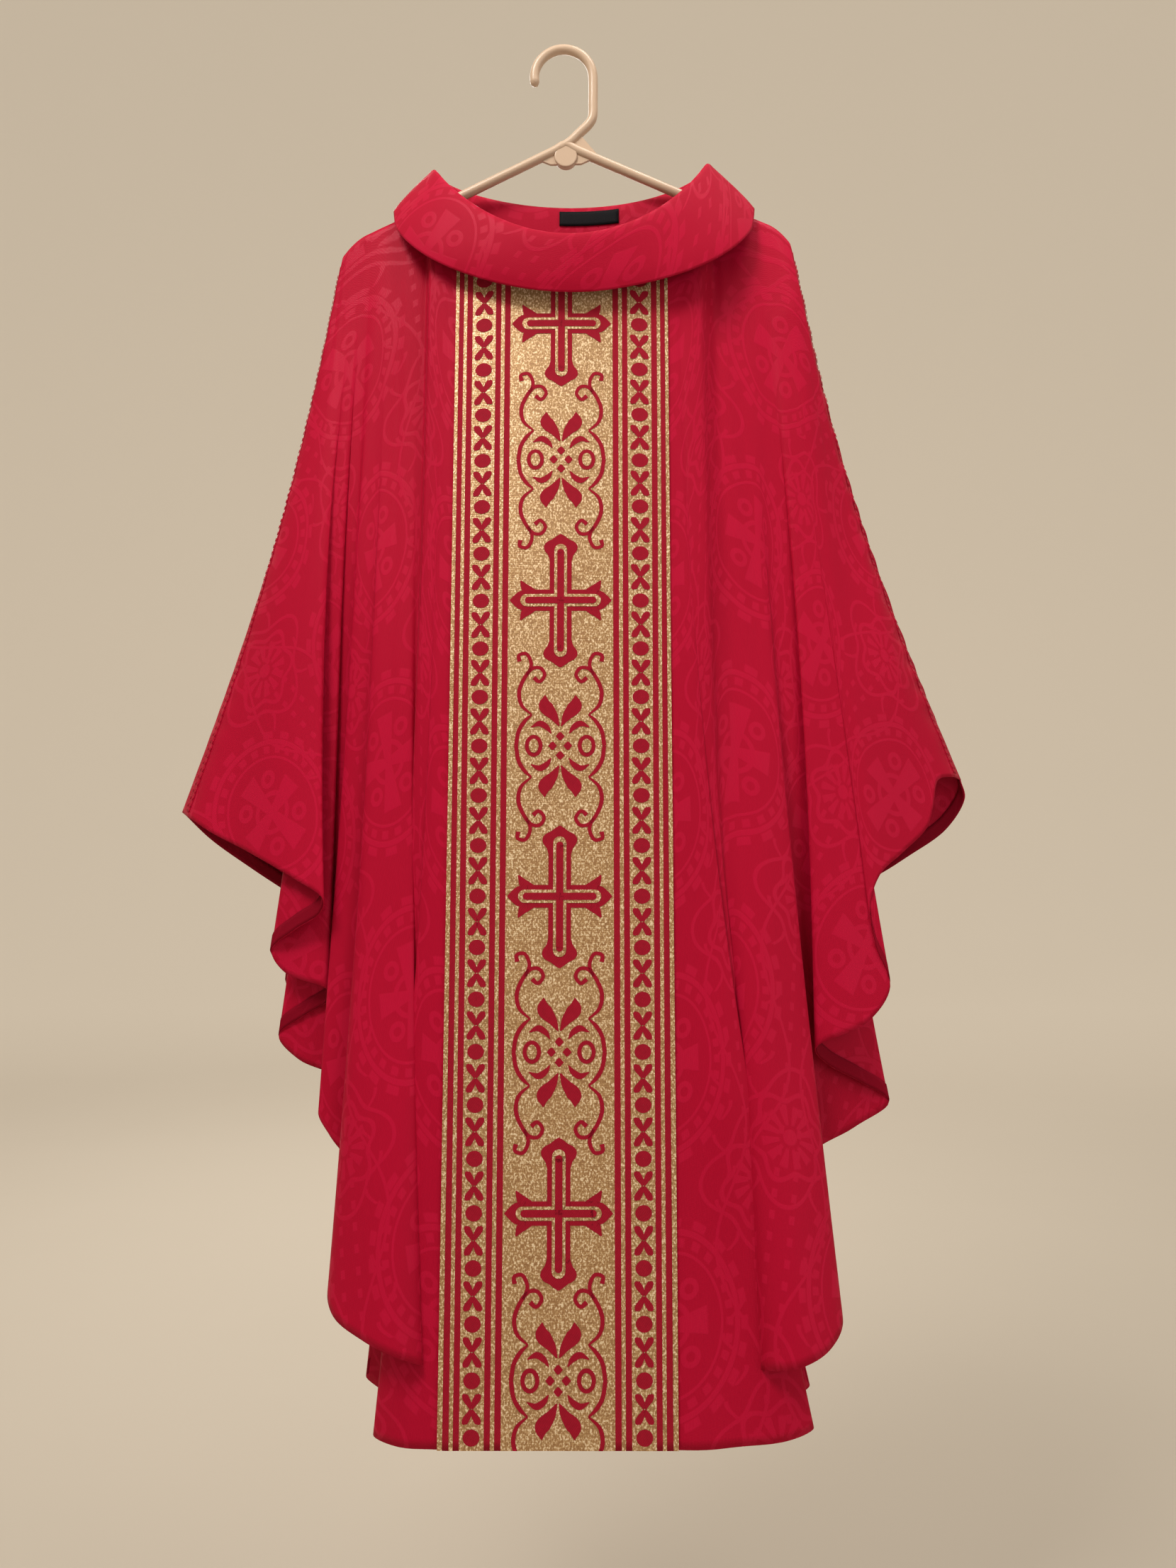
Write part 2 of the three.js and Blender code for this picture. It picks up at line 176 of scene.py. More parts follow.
@dataclass(frozen=True)
class OrphreySize:
    """The woven band and the spacing of its figures."""

    half_width: float = 92.5
    field_half: float = 44.0
    inner_line: tuple[float, float] = (49.0, 52.2)
    strip: tuple[float, float] = (57.0, 76.7)
    outer_line: tuple[float, float] = (81.6, 84.6)
    edge_line: tuple[float, float] = (89.2, 92.5)
    first_cross_z: float = -277.0
    pitch: float = 247.0
    side_pitch: float = 247.0 / 6


@dataclass(frozen=True)
class Rib:
    """One line down a panel, from the shoulder or neckline to the hem.

    Attributes:
        top: Its place across the garment at the top.
        foot: Its place, depth and height at the hem.
        late: How late it leaves the straight fall: 1 fans evenly from the top.
        bow: How far it bows sideways halfway down.
    """

    top: float
    foot: tuple[float, float, float]
    late: float = 1.0
    bow: float = 0.0

    def mirrored(self) -> Rib:
        """The same rib on the right, where the garment hangs a little wider and higher."""
        x, y, z = self.foot
        shift, wider, higher = 6, 10, 18
        return Rib(-self.top + shift, (-x + wider, y, z + higher), self.late, -self.bow)


HANGER = HangerSize()
CLOTH = ClothSize()
NECK = NeckSize()
COLLAR = CollarSize()
BAND = OrphreySize()
HEM_TURN = 13.0
PLEAT_ONSET = 2.0
ARM_CLEARANCE = 1.6
ARM_BEND_START = 182.0
ARM_BEND = 0.022
FRONT_FOOT = -127.0
BACK_FOOT = 27.0
FRONT_HEM = -1192.0
BACK_HEM = -1197.0

# From the wrist's fold inwards. Ribs that turn back on themselves make the hanging pleats.
FRONT_LEFT = [
    Rib(-200, (-340, 3, -700), bow=13),
    Rib(-199, (-326, -17, -706), bow=10),
    Rib(-198, (-300, -36, -720), bow=6),
    Rib(-197, (-262, -54, -737), bow=3),
    Rib(-195, (-222, -70, -757)),
    Rib(-193, (-196, -78, -774)),
    Rib(-191, (-200, -70, -786)),
    Rib(-189, (-222, -63, -800)),
    Rib(-187, (-243, -57, -818)),
    Rib(-185, (-232, -55, -836)),
    Rib(-183, (-196, -57, -850)),
    Rib(-181, (-196, -49, -860)),
    Rib(-179, (-218, -42, -874)),
    Rib(-177, (-241, -36, -892)),
    Rib(-175, (-222, -41, -911)),
    Rib(-173, (-186, -52, -925)),
    Rib(-171, (-184, -62, -934)),
    Rib(-168, (-199, -70, -948)),
    Rib(-165, (-188, -76, -968)),
    Rib(-162, (-164, -80, -1000)),
    Rib(-159, (-164, -92, -1044)),
    Rib(-156, (-182, -107, -1078)),
    Rib(-152, (-175, -120, -1096)),
    Rib(-146, (-148, -131, -1110)),
    Rib(-139, (-121, -132, -1121), 1.4),
    Rib(-132, (-106, -124, -1130), 1.8),
    Rib(-127, (-110, -106, -1136), 2.2),
    Rib(-122, (-134, -90, -1146), 3.0),
    Rib(-117, (-155, -86, -1155), 3.0),
    Rib(-113, (-139, -92, -1164), 3.0),
    Rib(-109, (-121, -98, -1172), 3.0),
    Rib(-106, (-131, -105, -1181), 2.6),
    Rib(-103, (-144, -113, -1188), 2.4),
    Rib(-100, (-122, -122, -1192), 2.0),
]
FRONT_RIGHT = [
    Rib(207, (357, 3, -671), bow=-16),
    Rib(206, (345, -14, -669), bow=-14),
    Rib(205, (328, -27, -673), bow=-11),
    Rib(204, (322, -34, -694), bow=-9),
    Rib(202, (315, -39, -714), bow=-7),
    Rib(200, (290, -50, -736), bow=-4),
    Rib(197, (268, -61, -754), bow=-2),
    Rib(194, (258, -65, -782)),
    Rib(191, (262, -68, -814)),
    Rib(188, (273, -71, -846)),
    Rib(185, (254, -74, -874)),
    Rib(182, (210, -75, -896)),
    Rib(179, (222, -64, -911)),
    Rib(176, (252, -54, -928)),
    Rib(173, (277, -46, -946)),
    Rib(170, (246, -51, -966)),
    Rib(167, (205, -62, -988)),
    Rib(163, (197, -80, -1030)),
    Rib(158, (214, -98, -1072)),
    Rib(153, (222, -113, -1102)),
    Rib(148, (209, -125, -1118)),
    Rib(142, (186, -132, -1127), 1.2),
    Rib(135, (161, -126, -1133), 1.6),
    Rib(129, (158, -104, -1140), 2.4),
    Rib(123, (178, -94, -1148), 3.0),
    Rib(118, (199, -92, -1158), 3.0),
    Rib(113, (181, -99, -1166), 3.0),
    Rib(109, (164, -105, -1172), 3.0),
    Rib(106, (180, -110, -1176), 2.4),
    Rib(103, (198, -114, -1181), 2.2),
    Rib(100, (172, -122, -1188), 1.8),
    Rib(97, (128, -127, -1192), 1.5),
]
BACK_SIDE = [
    Rib(-200, (-340, 4, -700), bow=13),
    Rib(-198, (-318, 16, -724), bow=8),
    Rib(-196, (-280, 23, -752), bow=3),
    Rib(-192, (-232, 27, -785)),
    Rib(-189, (-206, 26, -806)),
    Rib(-186, (-222, 21, -826)),
    Rib(-183, (-248, 17, -850)),
    Rib(-180, (-225, 12, -874)),
    Rib(-176, (-185, 11, -900)),
    Rib(-172, (-194, 17, -930)),
    Rib(-168, (-216, 21, -962)),
    Rib(-163, (-186, 22, -1000)),
    Rib(-158, (-160, 22, -1035)),
    Rib(-152, (-180, 27, -1078)),
    Rib(-146, (-164, 32, -1112)),
    Rib(-138, (-132, 30, -1136), 1.4),
    Rib(-128, (-118, 22, -1150), 2.0),
    Rib(-118, (-146, 19, -1170), 2.6),
    Rib(-110, (-138, 26, -1186), 2.2),
    Rib(-102, (-112, 29, -1194), 1.8),
]
BACK_RIGHT_CUFF = [
    Rib(207, (357, 4, -671), bow=-16),
    Rib(206, (364, 13, -688), bow=-14),
    Rib(204, (350, 21, -714), bow=-10),
    Rib(201, (318, 25, -737), bow=-6),
    Rib(198, (276, 27, -762), bow=-2),
]


# ---- Surfaces ------------------------------------------------------------------------------------


def through(points: np.ndarray, per: Sequence[int]) -> np.ndarray:
    """Draws a rounded curve through control points, for many rows at once.

    Args:
        points: Control points, (control, row, 3).
        per: How many steps each span between two control points takes.

    Returns:
        Points of the curves, (sample, row, 3).
    """
    ends = np.concatenate([2 * points[:1] - points[1:2], points, 2 * points[-1:] - points[-2:-1]])
    out = []
    for k, steps in enumerate(per):
        a, b, c, d = ends[k : k + 4]
        ab, bc, cd = (
            np.maximum(np.linalg.norm(q - p, axis=-1, keepdims=True), 1e-6) ** 0.5
            for p, q in ((a, b), (b, c), (c, d))
        )
        leave = bc * ((b - a) / ab - (c - a) / (ab + bc) + (c - b) / bc)
        reach = bc * ((c - b) / bc - (d - b) / (bc + cd) + (d - c) / cd)
        for s in range(steps):
            t = s / steps
            out.append(
                (2 * t**3 - 3 * t**2 + 1) * b
                + (t**3 - 2 * t**2 + t) * leave
                + (3 * t**2 - 2 * t**3) * c
                + (t**3 - t**2) * reach
            )
    out.append(ends[-2])
    return np.stack(out)


def ramp(value: float, start: float, end: float) -> float:
    """A share that goes from 0 at start to 1 at end, and stays there.

    Args:
        value: Where.
        start: Where the share is 0.
        end: Where it is 1.

    Returns:
        The share.
    """
    return min(1.0, max(0.0, (value - start) / (end - start)))


def noise_at(points: np.ndarray, scale: tuple[float, float, float], seed: float) -> np.ndarray:
    """Smooth noise from -1 to 1 at each point.

    Args:
        points: (..., 3) points.
        scale: Size of the noise along each axis, in the points' unit.
        seed: Moves the noise, so that two pieces differ.

    Returns:
        The noise, (...).
    """
    flat = points.reshape(-1, 3) / np.array(scale) + seed
    return np.array([noise.noise(Vector(p)) for p in flat]).reshape(points.shape[:-1])


@dataclass
class Surface:
    """A grid of points with normals that look out of the cloth, and the cloth's own coordinates.

    Attributes:
        points: (across, down, 3), millimetres.
        loop: Whether the last column is followed by the first.
    """

    points: np.ndarray
    loop: bool = False
    normals: np.ndarray = field(init=False)
    cloth: np.ndarray = field(init=False)

    def __post_init__(self) -> None:
        """Measures the normals and the cloth's coordinates."""
        p = self.points
        if self.loop:
            across = np.roll(p, -1, axis=0) - np.roll(p, 1, axis=0)
        else:
            across = np.gradient(p, axis=0)
        down = np.gradient(p, axis=1)
        n = np.cross(across, down)
        self.normals = n / np.maximum(np.linalg.norm(n, axis=-1, keepdims=True), 1e-9)
        steps = np.linalg.norm(np.diff(p, axis=0), axis=-1)
        u = np.concatenate([np.zeros((1, p.shape[1])), np.cumsum(steps, axis=0)])
        u = u - u[len(u) // 2]
        drops = np.linalg.norm(np.diff(p, axis=1), axis=-1)
        v = np.concatenate([np.zeros((p.shape[0], 1)), np.cumsum(drops, axis=1)], axis=1)
        self.cloth = np.stack([u, v], axis=-1) * MM

    def develop(self, low: int, high: int) -> None:
        """Sets the cloth's coordinates from how the cloth lay before it was hung, strip by strip.

        Args:
            low: A row near the top.
            high: A row near the hem.
        """
        p = self.points
        drops = np.linalg.norm(np.diff(p, axis=1), axis=-1)
        reach = np.concatenate([np.zeros((p.shape[0], 1)), np.cumsum(drops, axis=1)], axis=1)
        gaps = np.linalg.norm(np.diff(p, axis=0), axis=-1)
        turn = (gaps[:, high] - gaps[:, low]) / (reach[1:, high] - reach[1:, low])
        start = gaps[:, low] - turn * reach[1:, low]
        angle = np.concatenate([[0], np.cumsum(turn)])
        middle = int(np.argmin(np.abs(p[:, p.shape[1] // 2, 0])))
        angle -= angle[middle]
        mean = (angle[1:] + angle[:-1]) / 2
        steps = np.stack([start * np.cos(mean), -start * np.sin(mean)], axis=-1)
        tops = np.concatenate([np.zeros((1, 2)), np.cumsum(steps, axis=0)])
        tops -= tops[middle]
        way = np.stack([np.sin(angle), np.cos(angle)], axis=-1)
        self.cloth = (tops[:, None] + reach[..., None] * way[:, None]) * MM

    def lifted(self, lift: float) -> np.ndarray:
        """The grid moved along its normals.

        Args:
            lift: How far, in millimetres.

        Returns:
            The moved points.
        """
        return self.points + self.normals * lift

    def at(self, i: np.ndarray, j: np.ndarray, lift: float = 0.0) -> np.ndarray:
        """Points of the surface between its grid's own.

        Args:
            i: Places across, in columns.
            j: Places down, in rows.
            lift: How far off the surface, in millimetres.

        Returns:
            The points, (..., 3).
        """
        grid = self.lifted(lift)
        i = np.clip(i, 0, grid.shape[0] - 1.001)
        j = np.clip(j, 0, grid.shape[1] - 1.001)
        i0, j0 = i.astype(int), j.astype(int)
        s, t = (i - i0)[..., None], (j - j0)[..., None]
        near = grid[i0, j0] * (1 - s) + grid[i0 + 1, j0] * s
        far = grid[i0, j0 + 1] * (1 - s) + grid[i0 + 1, j0 + 1] * s
        return near * (1 - t) + far * t


class Shell:
    """A piece of cloth or moulding while it is being made, from grids of quads."""

    def __init__(self, name: str, *materials: bpy.types.Material) -> None:
        """Starts a piece.

        Args:
            name: The piece's name.
            materials: Its materials, in order.
        """
        self.name = name
        self.materials = materials
        self.bm = bmesh.new()
        self.uv = self.bm.loops.layers.uv.new("Cloth")

    def grid(
        self, points: np.ndarray, cloth: np.ndarray | None = None, material: int = 0, loop: bool = False
    ) -> None:
        """Adds a sheet of quads through a grid of points.

        Args:
            points: (across, down, 3), millimetres.
            cloth: The cloth's coordinates of the points, metres, or None for none.
            material: Index of the material.
            loop: Whether to join the last column to the first.
        """
        if loop:
            points = np.concatenate([points, points[:1]])
            if cloth is not None:
                step = cloth[1:2] - cloth[:1]
                cloth = np.concatenate([cloth, cloth[-1:] + step])
        across, down = points.shape[:2]
        made = bmesh.ops.create_grid(self.bm, x_segments=across - 1, y_segments=down - 1, size=1)["verts"]
        order = {v: (k % across, k // across) for k, v in enumerate(made)}
        faces = {f for v in made for f in v.link_faces}
        for v, (i, j) in order.items():
            v.co = points[i, j] * MM
        for f in faces:
            f.smooth = True
            f.material_index = material
            if cloth is not None:
                for corner in f.loops:
                    corner[self.uv].uv = cloth[order[corner.vert]]
        if loop:
            bmesh.ops.remove_doubles(self.bm, verts=made, dist=1e-6)

    def tube(self, line: Sequence[Vector], radius: float, sides: int = 20, loop: bool = False) -> None:
        """Adds a round rod along a line in the XZ plane, with closed ends.

        Args:
            line: Points of its centre, millimetres.
            radius: Its radius.
            sides: How many sides the section has.
            loop: Whether the rod is a ring.
        """
        pts = [Vector(p) for p in line]
        depth = Vector((0, 1, 0))
        turns = np.linspace(0, math.tau, sides + 1)
        grid = []
        for k, p in enumerate(pts):
            a = pts[k - 1] if k or loop else p
            b = pts[(k + 1) % len(pts)] if k + 1 < len(pts) or loop else p
            along = (b - a).normalized()
            side = along.cross(depth).normalized()
            ring = [side * math.cos(t) + depth * math.sin(t) for t in turns]
            grid.append([p + d * radius for d in ring])
        if not loop:
            for end, inner in ((0, 1), (-1, -2)):
                out = (pts[end] - pts[inner]).normalized()
                base = grid[end]
                caps = []
                for a in (0.5, 0.85, 0.99):
                    shift = out * radius * math.sin(a * math.pi / 2)
                    caps.append([pts[end] + shift + (q - pts[end]) * math.cos(a * math.pi / 2) for q in base])
                grid = caps[::-1] + grid if end == 0 else grid + caps
        self.grid(np.array(grid, dtype=float), loop=loop)
        bmesh.ops.remove_doubles(self.bm, verts=self.bm.verts, dist=1e-6)

    def done(self, thickness: float = 0.0) -> bpy.types.Object:
        """Makes the object, solidified if it has a thickness.

        Args:
            thickness: In millimetres, half of it on each side of the surface.

        Returns:
            The new object.
        """
        mesh = bpy.data.meshes.new(self.name)
        self.bm.to_mesh(mesh)
        self.bm.free()
        for m in self.materials:
            mesh.materials.append(m)
        piece = bpy.data.objects.new(self.name, mesh)
        bpy.context.collection.objects.link(piece)
        if thickness:
            solid = piece.modifiers.new("Thickness", "SOLIDIFY")
            solid.thickness = thickness * MM
            solid.offset = 0.0
        log.info("%s: %d faces", self.name, len(mesh.polygons))
        return piece


class Panel:
    """The front or the back of the chasuble, draped."""

    ROWS = 150

    def __init__(self, face: Face, left: Sequence[Rib], right: Sequence[Rib]) -> None:
        """Drapes a panel.

        Args:
            face: Front or back.
            left: Ribs of the viewer's left side, from the wrist inwards.
            right: The same on the right.
        """
        self.face = face
        foot_y, hem = (FRONT_FOOT, FRONT_HEM) if face is Face.FRONT else (BACK_FOOT, BACK_HEM)
        edge = BAND.half_width
        middle = [Rib(x, (x, foot_y, hem)) for x in (-edge, -60.0, -30.0, 0.0, 30.0, 60.0, edge)]
        ribs = [*left, *middle, *reversed(right)]
        per = [8 if abs(a.top) > 100 or abs(b.top) > 100 else 5 for a, b in zip(ribs, ribs[1:])]
        self.first = sum(per[: len(left)])
        self.last = self.first + sum(per[len(left) : len(left) + len(middle) - 1])
        v = np.linspace(0, 1, self.ROWS) ** 1.12
        net = np.stack([self.rib(r, calm, v) for r, calm in zip(ribs, self.calmed(ribs))])
        points = self.creased(through(net, per))
        if face is Face.FRONT:
            points = points[::-1]
            self.first, self.last = len(points) - 1 - self.last, len(points) - 1 - self.first
        self.surface = Surface(points)
        self.surface.develop(self.ROWS // 6, self.ROWS - 4)

    def neckline(self, x: float) -> tuple[float, float]:
        """The depth and height of the top edge.

        Args:
            x: Place across the garment.

        Returns:
            Its depth and its height.
        """
        front = self.face is Face.FRONT
        side = math.sqrt(max(0.0, 1 - ((x - NECK.centre) / NECK.half_width) ** 2))
        depth = (NECK.front_depth if front else NECK.back_depth) * side**0.75
        drop = (NECK.front_drop if front else NECK.back_drop) * side**1.2
        ends = [HANGER.top_at(NECK.centre + s * NECK.half_width) for s in (-1, 1)]
        share = min(1.0, max(0.0, (x - NECK.centre) / NECK.half_width / 2 + 0.5))
        level = ends[0] + (ends[1] - ends[0]) * share if side > 0 else HANGER.top_at(x)
        level -= ARM_BEND * max(0.0, abs(x - NECK.centre) - ARM_BEND_START) ** 2
        return self.face.value * (0.6 + depth), level - drop

    def calmed(self, ribs: Sequence[Rib]) -> np.ndarray:
        """Where each rib would end if the cloth hung without pleats.

        Args:
            ribs: The panel's ribs.

        Returns:
            Their feet, averaged with their neighbours'.
        """
        feet = np.array([r.foot for r in ribs], dtype=float)
        reach = [0 if abs(r.top) < 95 else min(5, k, len(ribs) - 1 - k) for k, r in enumerate(ribs)]
        return np.array([feet[k - n : k + n + 1].mean(axis=0) for k, n in enumerate(reach)])

    def rib(self, r: Rib, calm: np.ndarray, v: np.ndarray) -> np.ndarray:
        """One rib's line.

        Args:
            r: The rib.
            calm: Its foot without pleats.
            v: Shares of the way down.

        Returns:
            Its points, (row, 3).
        """
        y0, z0 = self.neckline(r.top)
        x1, y1, z1 = r.foot
        base = FRONT_FOOT if self.face is Face.FRONT else BACK_FOOT
        z = z0 + (z1 - z0) * v
        late = v**r.late
        formed = v ** max(r.late, PLEAT_ONSET if self.face is Face.FRONT else 1.0)
        x = r.top + (calm[0] - r.top) * late + (x1 - calm[0]) * formed + r.bow * np.sin(math.pi * v)
        share = late if r.late > 1 else v
        y = y0 + (base - y0) * v + (calm[1] - base) * share + (y1 - calm[1]) * formed
        radius = HANGER.tube + ARM_CLEARANCE
        rolled = radius * np.sqrt(1 - (1 - np.minimum(1, (z0 - z) / radius)) ** 2)
        on_arm = ramp(abs(r.top - NECK.centre), 100, 122) * ramp(abs(y1), 4, 12)
        y = y + self.face.value * rolled * on_arm * (1 - v) ** 2
        return np.stack([x, y, z], axis=-1)

    def creased(self, points: np.ndarray) -> np.ndarray:
        """Adds the cloth's small unevenness and the pucker along the shoulder seams.

        Args:
            points: The smooth drape.

        Returns:
            The points, moved a little in depth.
        """
        seed = 3.1 if self.face is Face.FRONT else 17.7
        x, z = points[..., 0], points[..., 2]
        inside = np.clip((np.abs(x) - 84) / 40, 0.12, 1)
        soft = noise_at(points, (62, 400, 300), seed) * 7.5 * inside
        fine = noise_at(points, (40, 120, 160), seed + 9) * 0.9 * inside
        rows = np.linspace(0, 1, points.shape[1])[None, :]
        columns = np.arange(len(points))
        joined = np.clip(np.minimum(columns, columns[::-1]) / 20, 0, 1)[:, None]
        points = points.copy()
        points[..., 1] += (soft + fine) * np.clip(rows * 6, 0, 1) * joined
        for columns, swell in ((points[:18], 0.7), (points[::-1][:18], 1.9)):
            near = np.exp(-(((np.arange(18) - 5) / 5.0) ** 2))[:, None]
            ripple = np.sin(rows * 118 + 1.6 * np.sin(rows * 23)) * near * np.clip((1 - rows) * 8, 0, 1)
            columns[..., 1] += ripple * swell * np.clip(rows * 8, 0, 1)
        return points

    def column_at(self, x: np.ndarray) -> np.ndarray:
        """Which column of the middle lies at a place across the orphrey.

        Args:
            x: Places across, millimetres.

        Returns:
            The columns, as fractions.
        """
        xs = self.surface.points[self.first : self.last + 1, self.ROWS // 2, 0]
        columns = np.arange(self.first, self.last + 1, dtype=float)
        order = np.argsort(xs)
        return np.interp(x, xs[order], columns[order])

    def laid(self, x: np.ndarray, z: np.ndarray, lift: float) -> np.ndarray:
        """Lays places of the orphrey on the cloth.

        Args:
            x: Places across, millimetres.
            z: Heights.
            lift: How far off the cloth.

        Returns:
            The points, (..., 3).
        """
        i = self.column_at(x)
        heights = self.surface.points[self.first : self.last + 1, :, 2].mean(axis=0)
        top = self.surface.at(i, np.zeros_like(i))[..., 2] - heights[0]
        share = np.clip((z - heights[-1]) / (heights[0] - heights[-1]), 0, 1)
        j = np.interp(-(z - top * share), -heights, np.arange(self.ROWS, dtype=float))
        return self.surface.at(i, j, lift)

    def patch(self, columns: slice, rows: slice) -> tuple[Surface, np.ndarray]:
        """A part of the panel's surface.

        Args:
            columns: Which columns.
            rows: Which rows.

        Returns:
            The surface of the part and its cloth coordinates.
        """
        part = Surface(self.surface.points[columns, rows])
        part.normals = self.surface.normals[columns, rows]
        return part, self.surface.cloth[columns, rows]


# ---- Materials -----------------------------------------------------------------------------------


@dataclass(frozen=True)
class Finish:
    """The constant part of a material."""

    name: str
    base: tuple[float, float, float]
    roughness: float = 0.6
    metallic: float = 0.0
    sheen: float = 0.0
    sheen_tint: tuple[float, float, float] = (1.0, 1.0, 1.0)
    specular: float = 0.07
    coat: float = 0.0


class Value:
    """A number in a material's node tree, with arithmetic that makes Math nodes."""

    def __init__(self, shader: Shader, source: bpy.types.NodeSocket | float) -> None:
        """Wraps a socket or a number."""
        self.shader = shader
        self.source = source

    def math(self, operation: str, *others: Value | float) -> Value:
        """Makes one Math node.

        Args:
            operation: The node's operation.
            others: Its other inputs.

        Returns:
            Its result.
        """
        inputs = dict(enumerate([self, *others]))
        return self.shader.node("ShaderNodeMath", {"operation": operation}, inputs)

    def __add__(self, other: Value | float) -> Value:
        return self.math("ADD", other)

    def __sub__(self, other: Value | float) -> Value:
        return self.math("SUBTRACT", other)

    def __mul__(self, other: Value | float) -> Value:
        return self.math("MULTIPLY", other)

    def __truediv__(self, other: Value | float) -> Value:
        return self.math("DIVIDE", other)

    def __abs__(self) -> Value:
        return self.math("ABSOLUTE")

    def fract(self) -> Value:
        """The part after the point."""
        return self.math("FRACT")

    def centred(self, cell: float) -> Value:
        """The distance from the middle of a repeating cell, in the cell's own unit."""
        return ((self / cell).fract() - 0.5) * cell

    def least(self, other: Value | float) -> Value:
        """The smaller of the two."""
        return self.math("MINIMUM", other)

    def most(self, other: Value | float) -> Value:
        """The greater of the two."""
        return self.math("MAXIMUM", other)

    def sine(self) -> Value:
        """The sine."""
        return self.math("SINE")

    def within(self, reach: float, blur: float) -> Value:
        """1 where the value is under reach, 0 past it, with a soft edge."""
        return ((self * (-1.0 / blur)) + (reach / blur + 0.5)).least(1.0).most(0.0)


class Shader:
    """A Principled material in the making."""

    def __init__(self, finish: Finish) -> None:
        """Starts a material from its constant finish.

        Args:
            finish: The finish.
        """
        self.finish = finish
        self.material = bpy.data.materials.new(finish.name)
        self.material.use_nodes = True
        self.tree = self.material.node_tree
        self.shader = self.tree.nodes["Principled BSDF"]
        constants = {
            "Base Color": (*finish.base, 1),
            "Roughness": finish.roughness,
            "Metallic": finish.metallic,
            "Sheen Weight": finish.sheen,
            "Sheen Roughness": 0.5,
            "Sheen Tint": (*finish.sheen_tint, 1),
            "Specular IOR Level": finish.specular,
            "Coat Weight": finish.coat,
        }
        for name, value in constants.items():
            self.shader.inputs[name].default_value = value

    def node(
        self, kind: str, settings: dict[str, object], inputs: dict[int | str, object], output: int | str = 0
    ) -> Value:
        """Makes any node.

        Args:
            kind: The node's type.
            settings: Its properties.
            inputs: Its inputs, as values, sockets or constants.
            output: Which of its outputs to return.

        Returns:
            That output.
        """
        made = self.tree.nodes.new(kind)
        for name, value in settings.items():
            setattr(made, name, value)
        for name, value in inputs.items():
            value = value.source if isinstance(value, Value) else value
            if isinstance(value, bpy.types.NodeSocket):
                self.tree.links.new(value, made.inputs[name])
            else:
                made.inputs[name].default_value = value
        return Value(self, made.outputs[output])

    def cloth(self) -> tuple[Value, Value, Value]:
        """The cloth's own coordinates, in metres: the vector, then across and down."""
        uv = self.node("ShaderNodeUVMap", {"uv_map": "Cloth"}, {})
        return uv, self.apart(uv, "X"), self.apart(uv, "Y")

    def place(self) -> Value:
        """The place in the object, in metres."""
        return self.node("ShaderNodeTexCoord", {}, {}, "Object")

    def apart(self, vector: Value, axis: str) -> Value:
        """One axis of a vector."""
        return self.node("ShaderNodeSeparateXYZ", {}, {0: vector}, axis)

    def noise(
        self, vector: Value, scale: float, detail: float = 3.0, stretch: Sequence[float] = (1, 1, 1)
    ) -> Value:
        """Noise from 0 to 1.

        Args:
            vector: Coordinates.
            scale: Noise scale, per metre.
            detail: Octaves.
            stretch: Scales the coordinates first.

        Returns:
            The noise.
        """
        if stretch != (1, 1, 1):
            vector = self.node("ShaderNodeMapping", {}, {"Vector": vector, "Scale": stretch})
        return self.node("ShaderNodeTexNoise", {}, {"Vector": vector, "Scale": scale, "Detail": detail})

    def colours(self, share: Value, low: Sequence[float], high: Sequence[float] | Value) -> Value:
        """A blend of two colours.

        Args:
            share: How much of the second.
            low: The first.
            high: The second.

        Returns:
            The blend.
        """
        ends = [c if isinstance(c, Value) else (*c, 1) for c in (low, high)]
        return self.node("ShaderNodeMix", {"data_type": "RGBA"}, {0: share, 6: ends[0], 7: ends[1]}, 2)

    def drive(self, socket: str, value: Value) -> None:
        """Feeds one of the shader's sockets.

        Args:
            socket: Its name.
            value: What feeds it.
        """
        self.tree.links.new(value.source, self.shader.inputs[socket])

    def bump(self, height: Value, distance: float, strength: float = 1.0) -> None:
        """Gives the surface relief.

        Args:
            height: From 0 to 1.
            distance: Its height in metres.
            strength: Its strength.
        """
        inputs = {"Height": height, "Distance": distance, "Strength": strength}
        self.drive("Normal", self.node("ShaderNodeBump", {}, inputs))


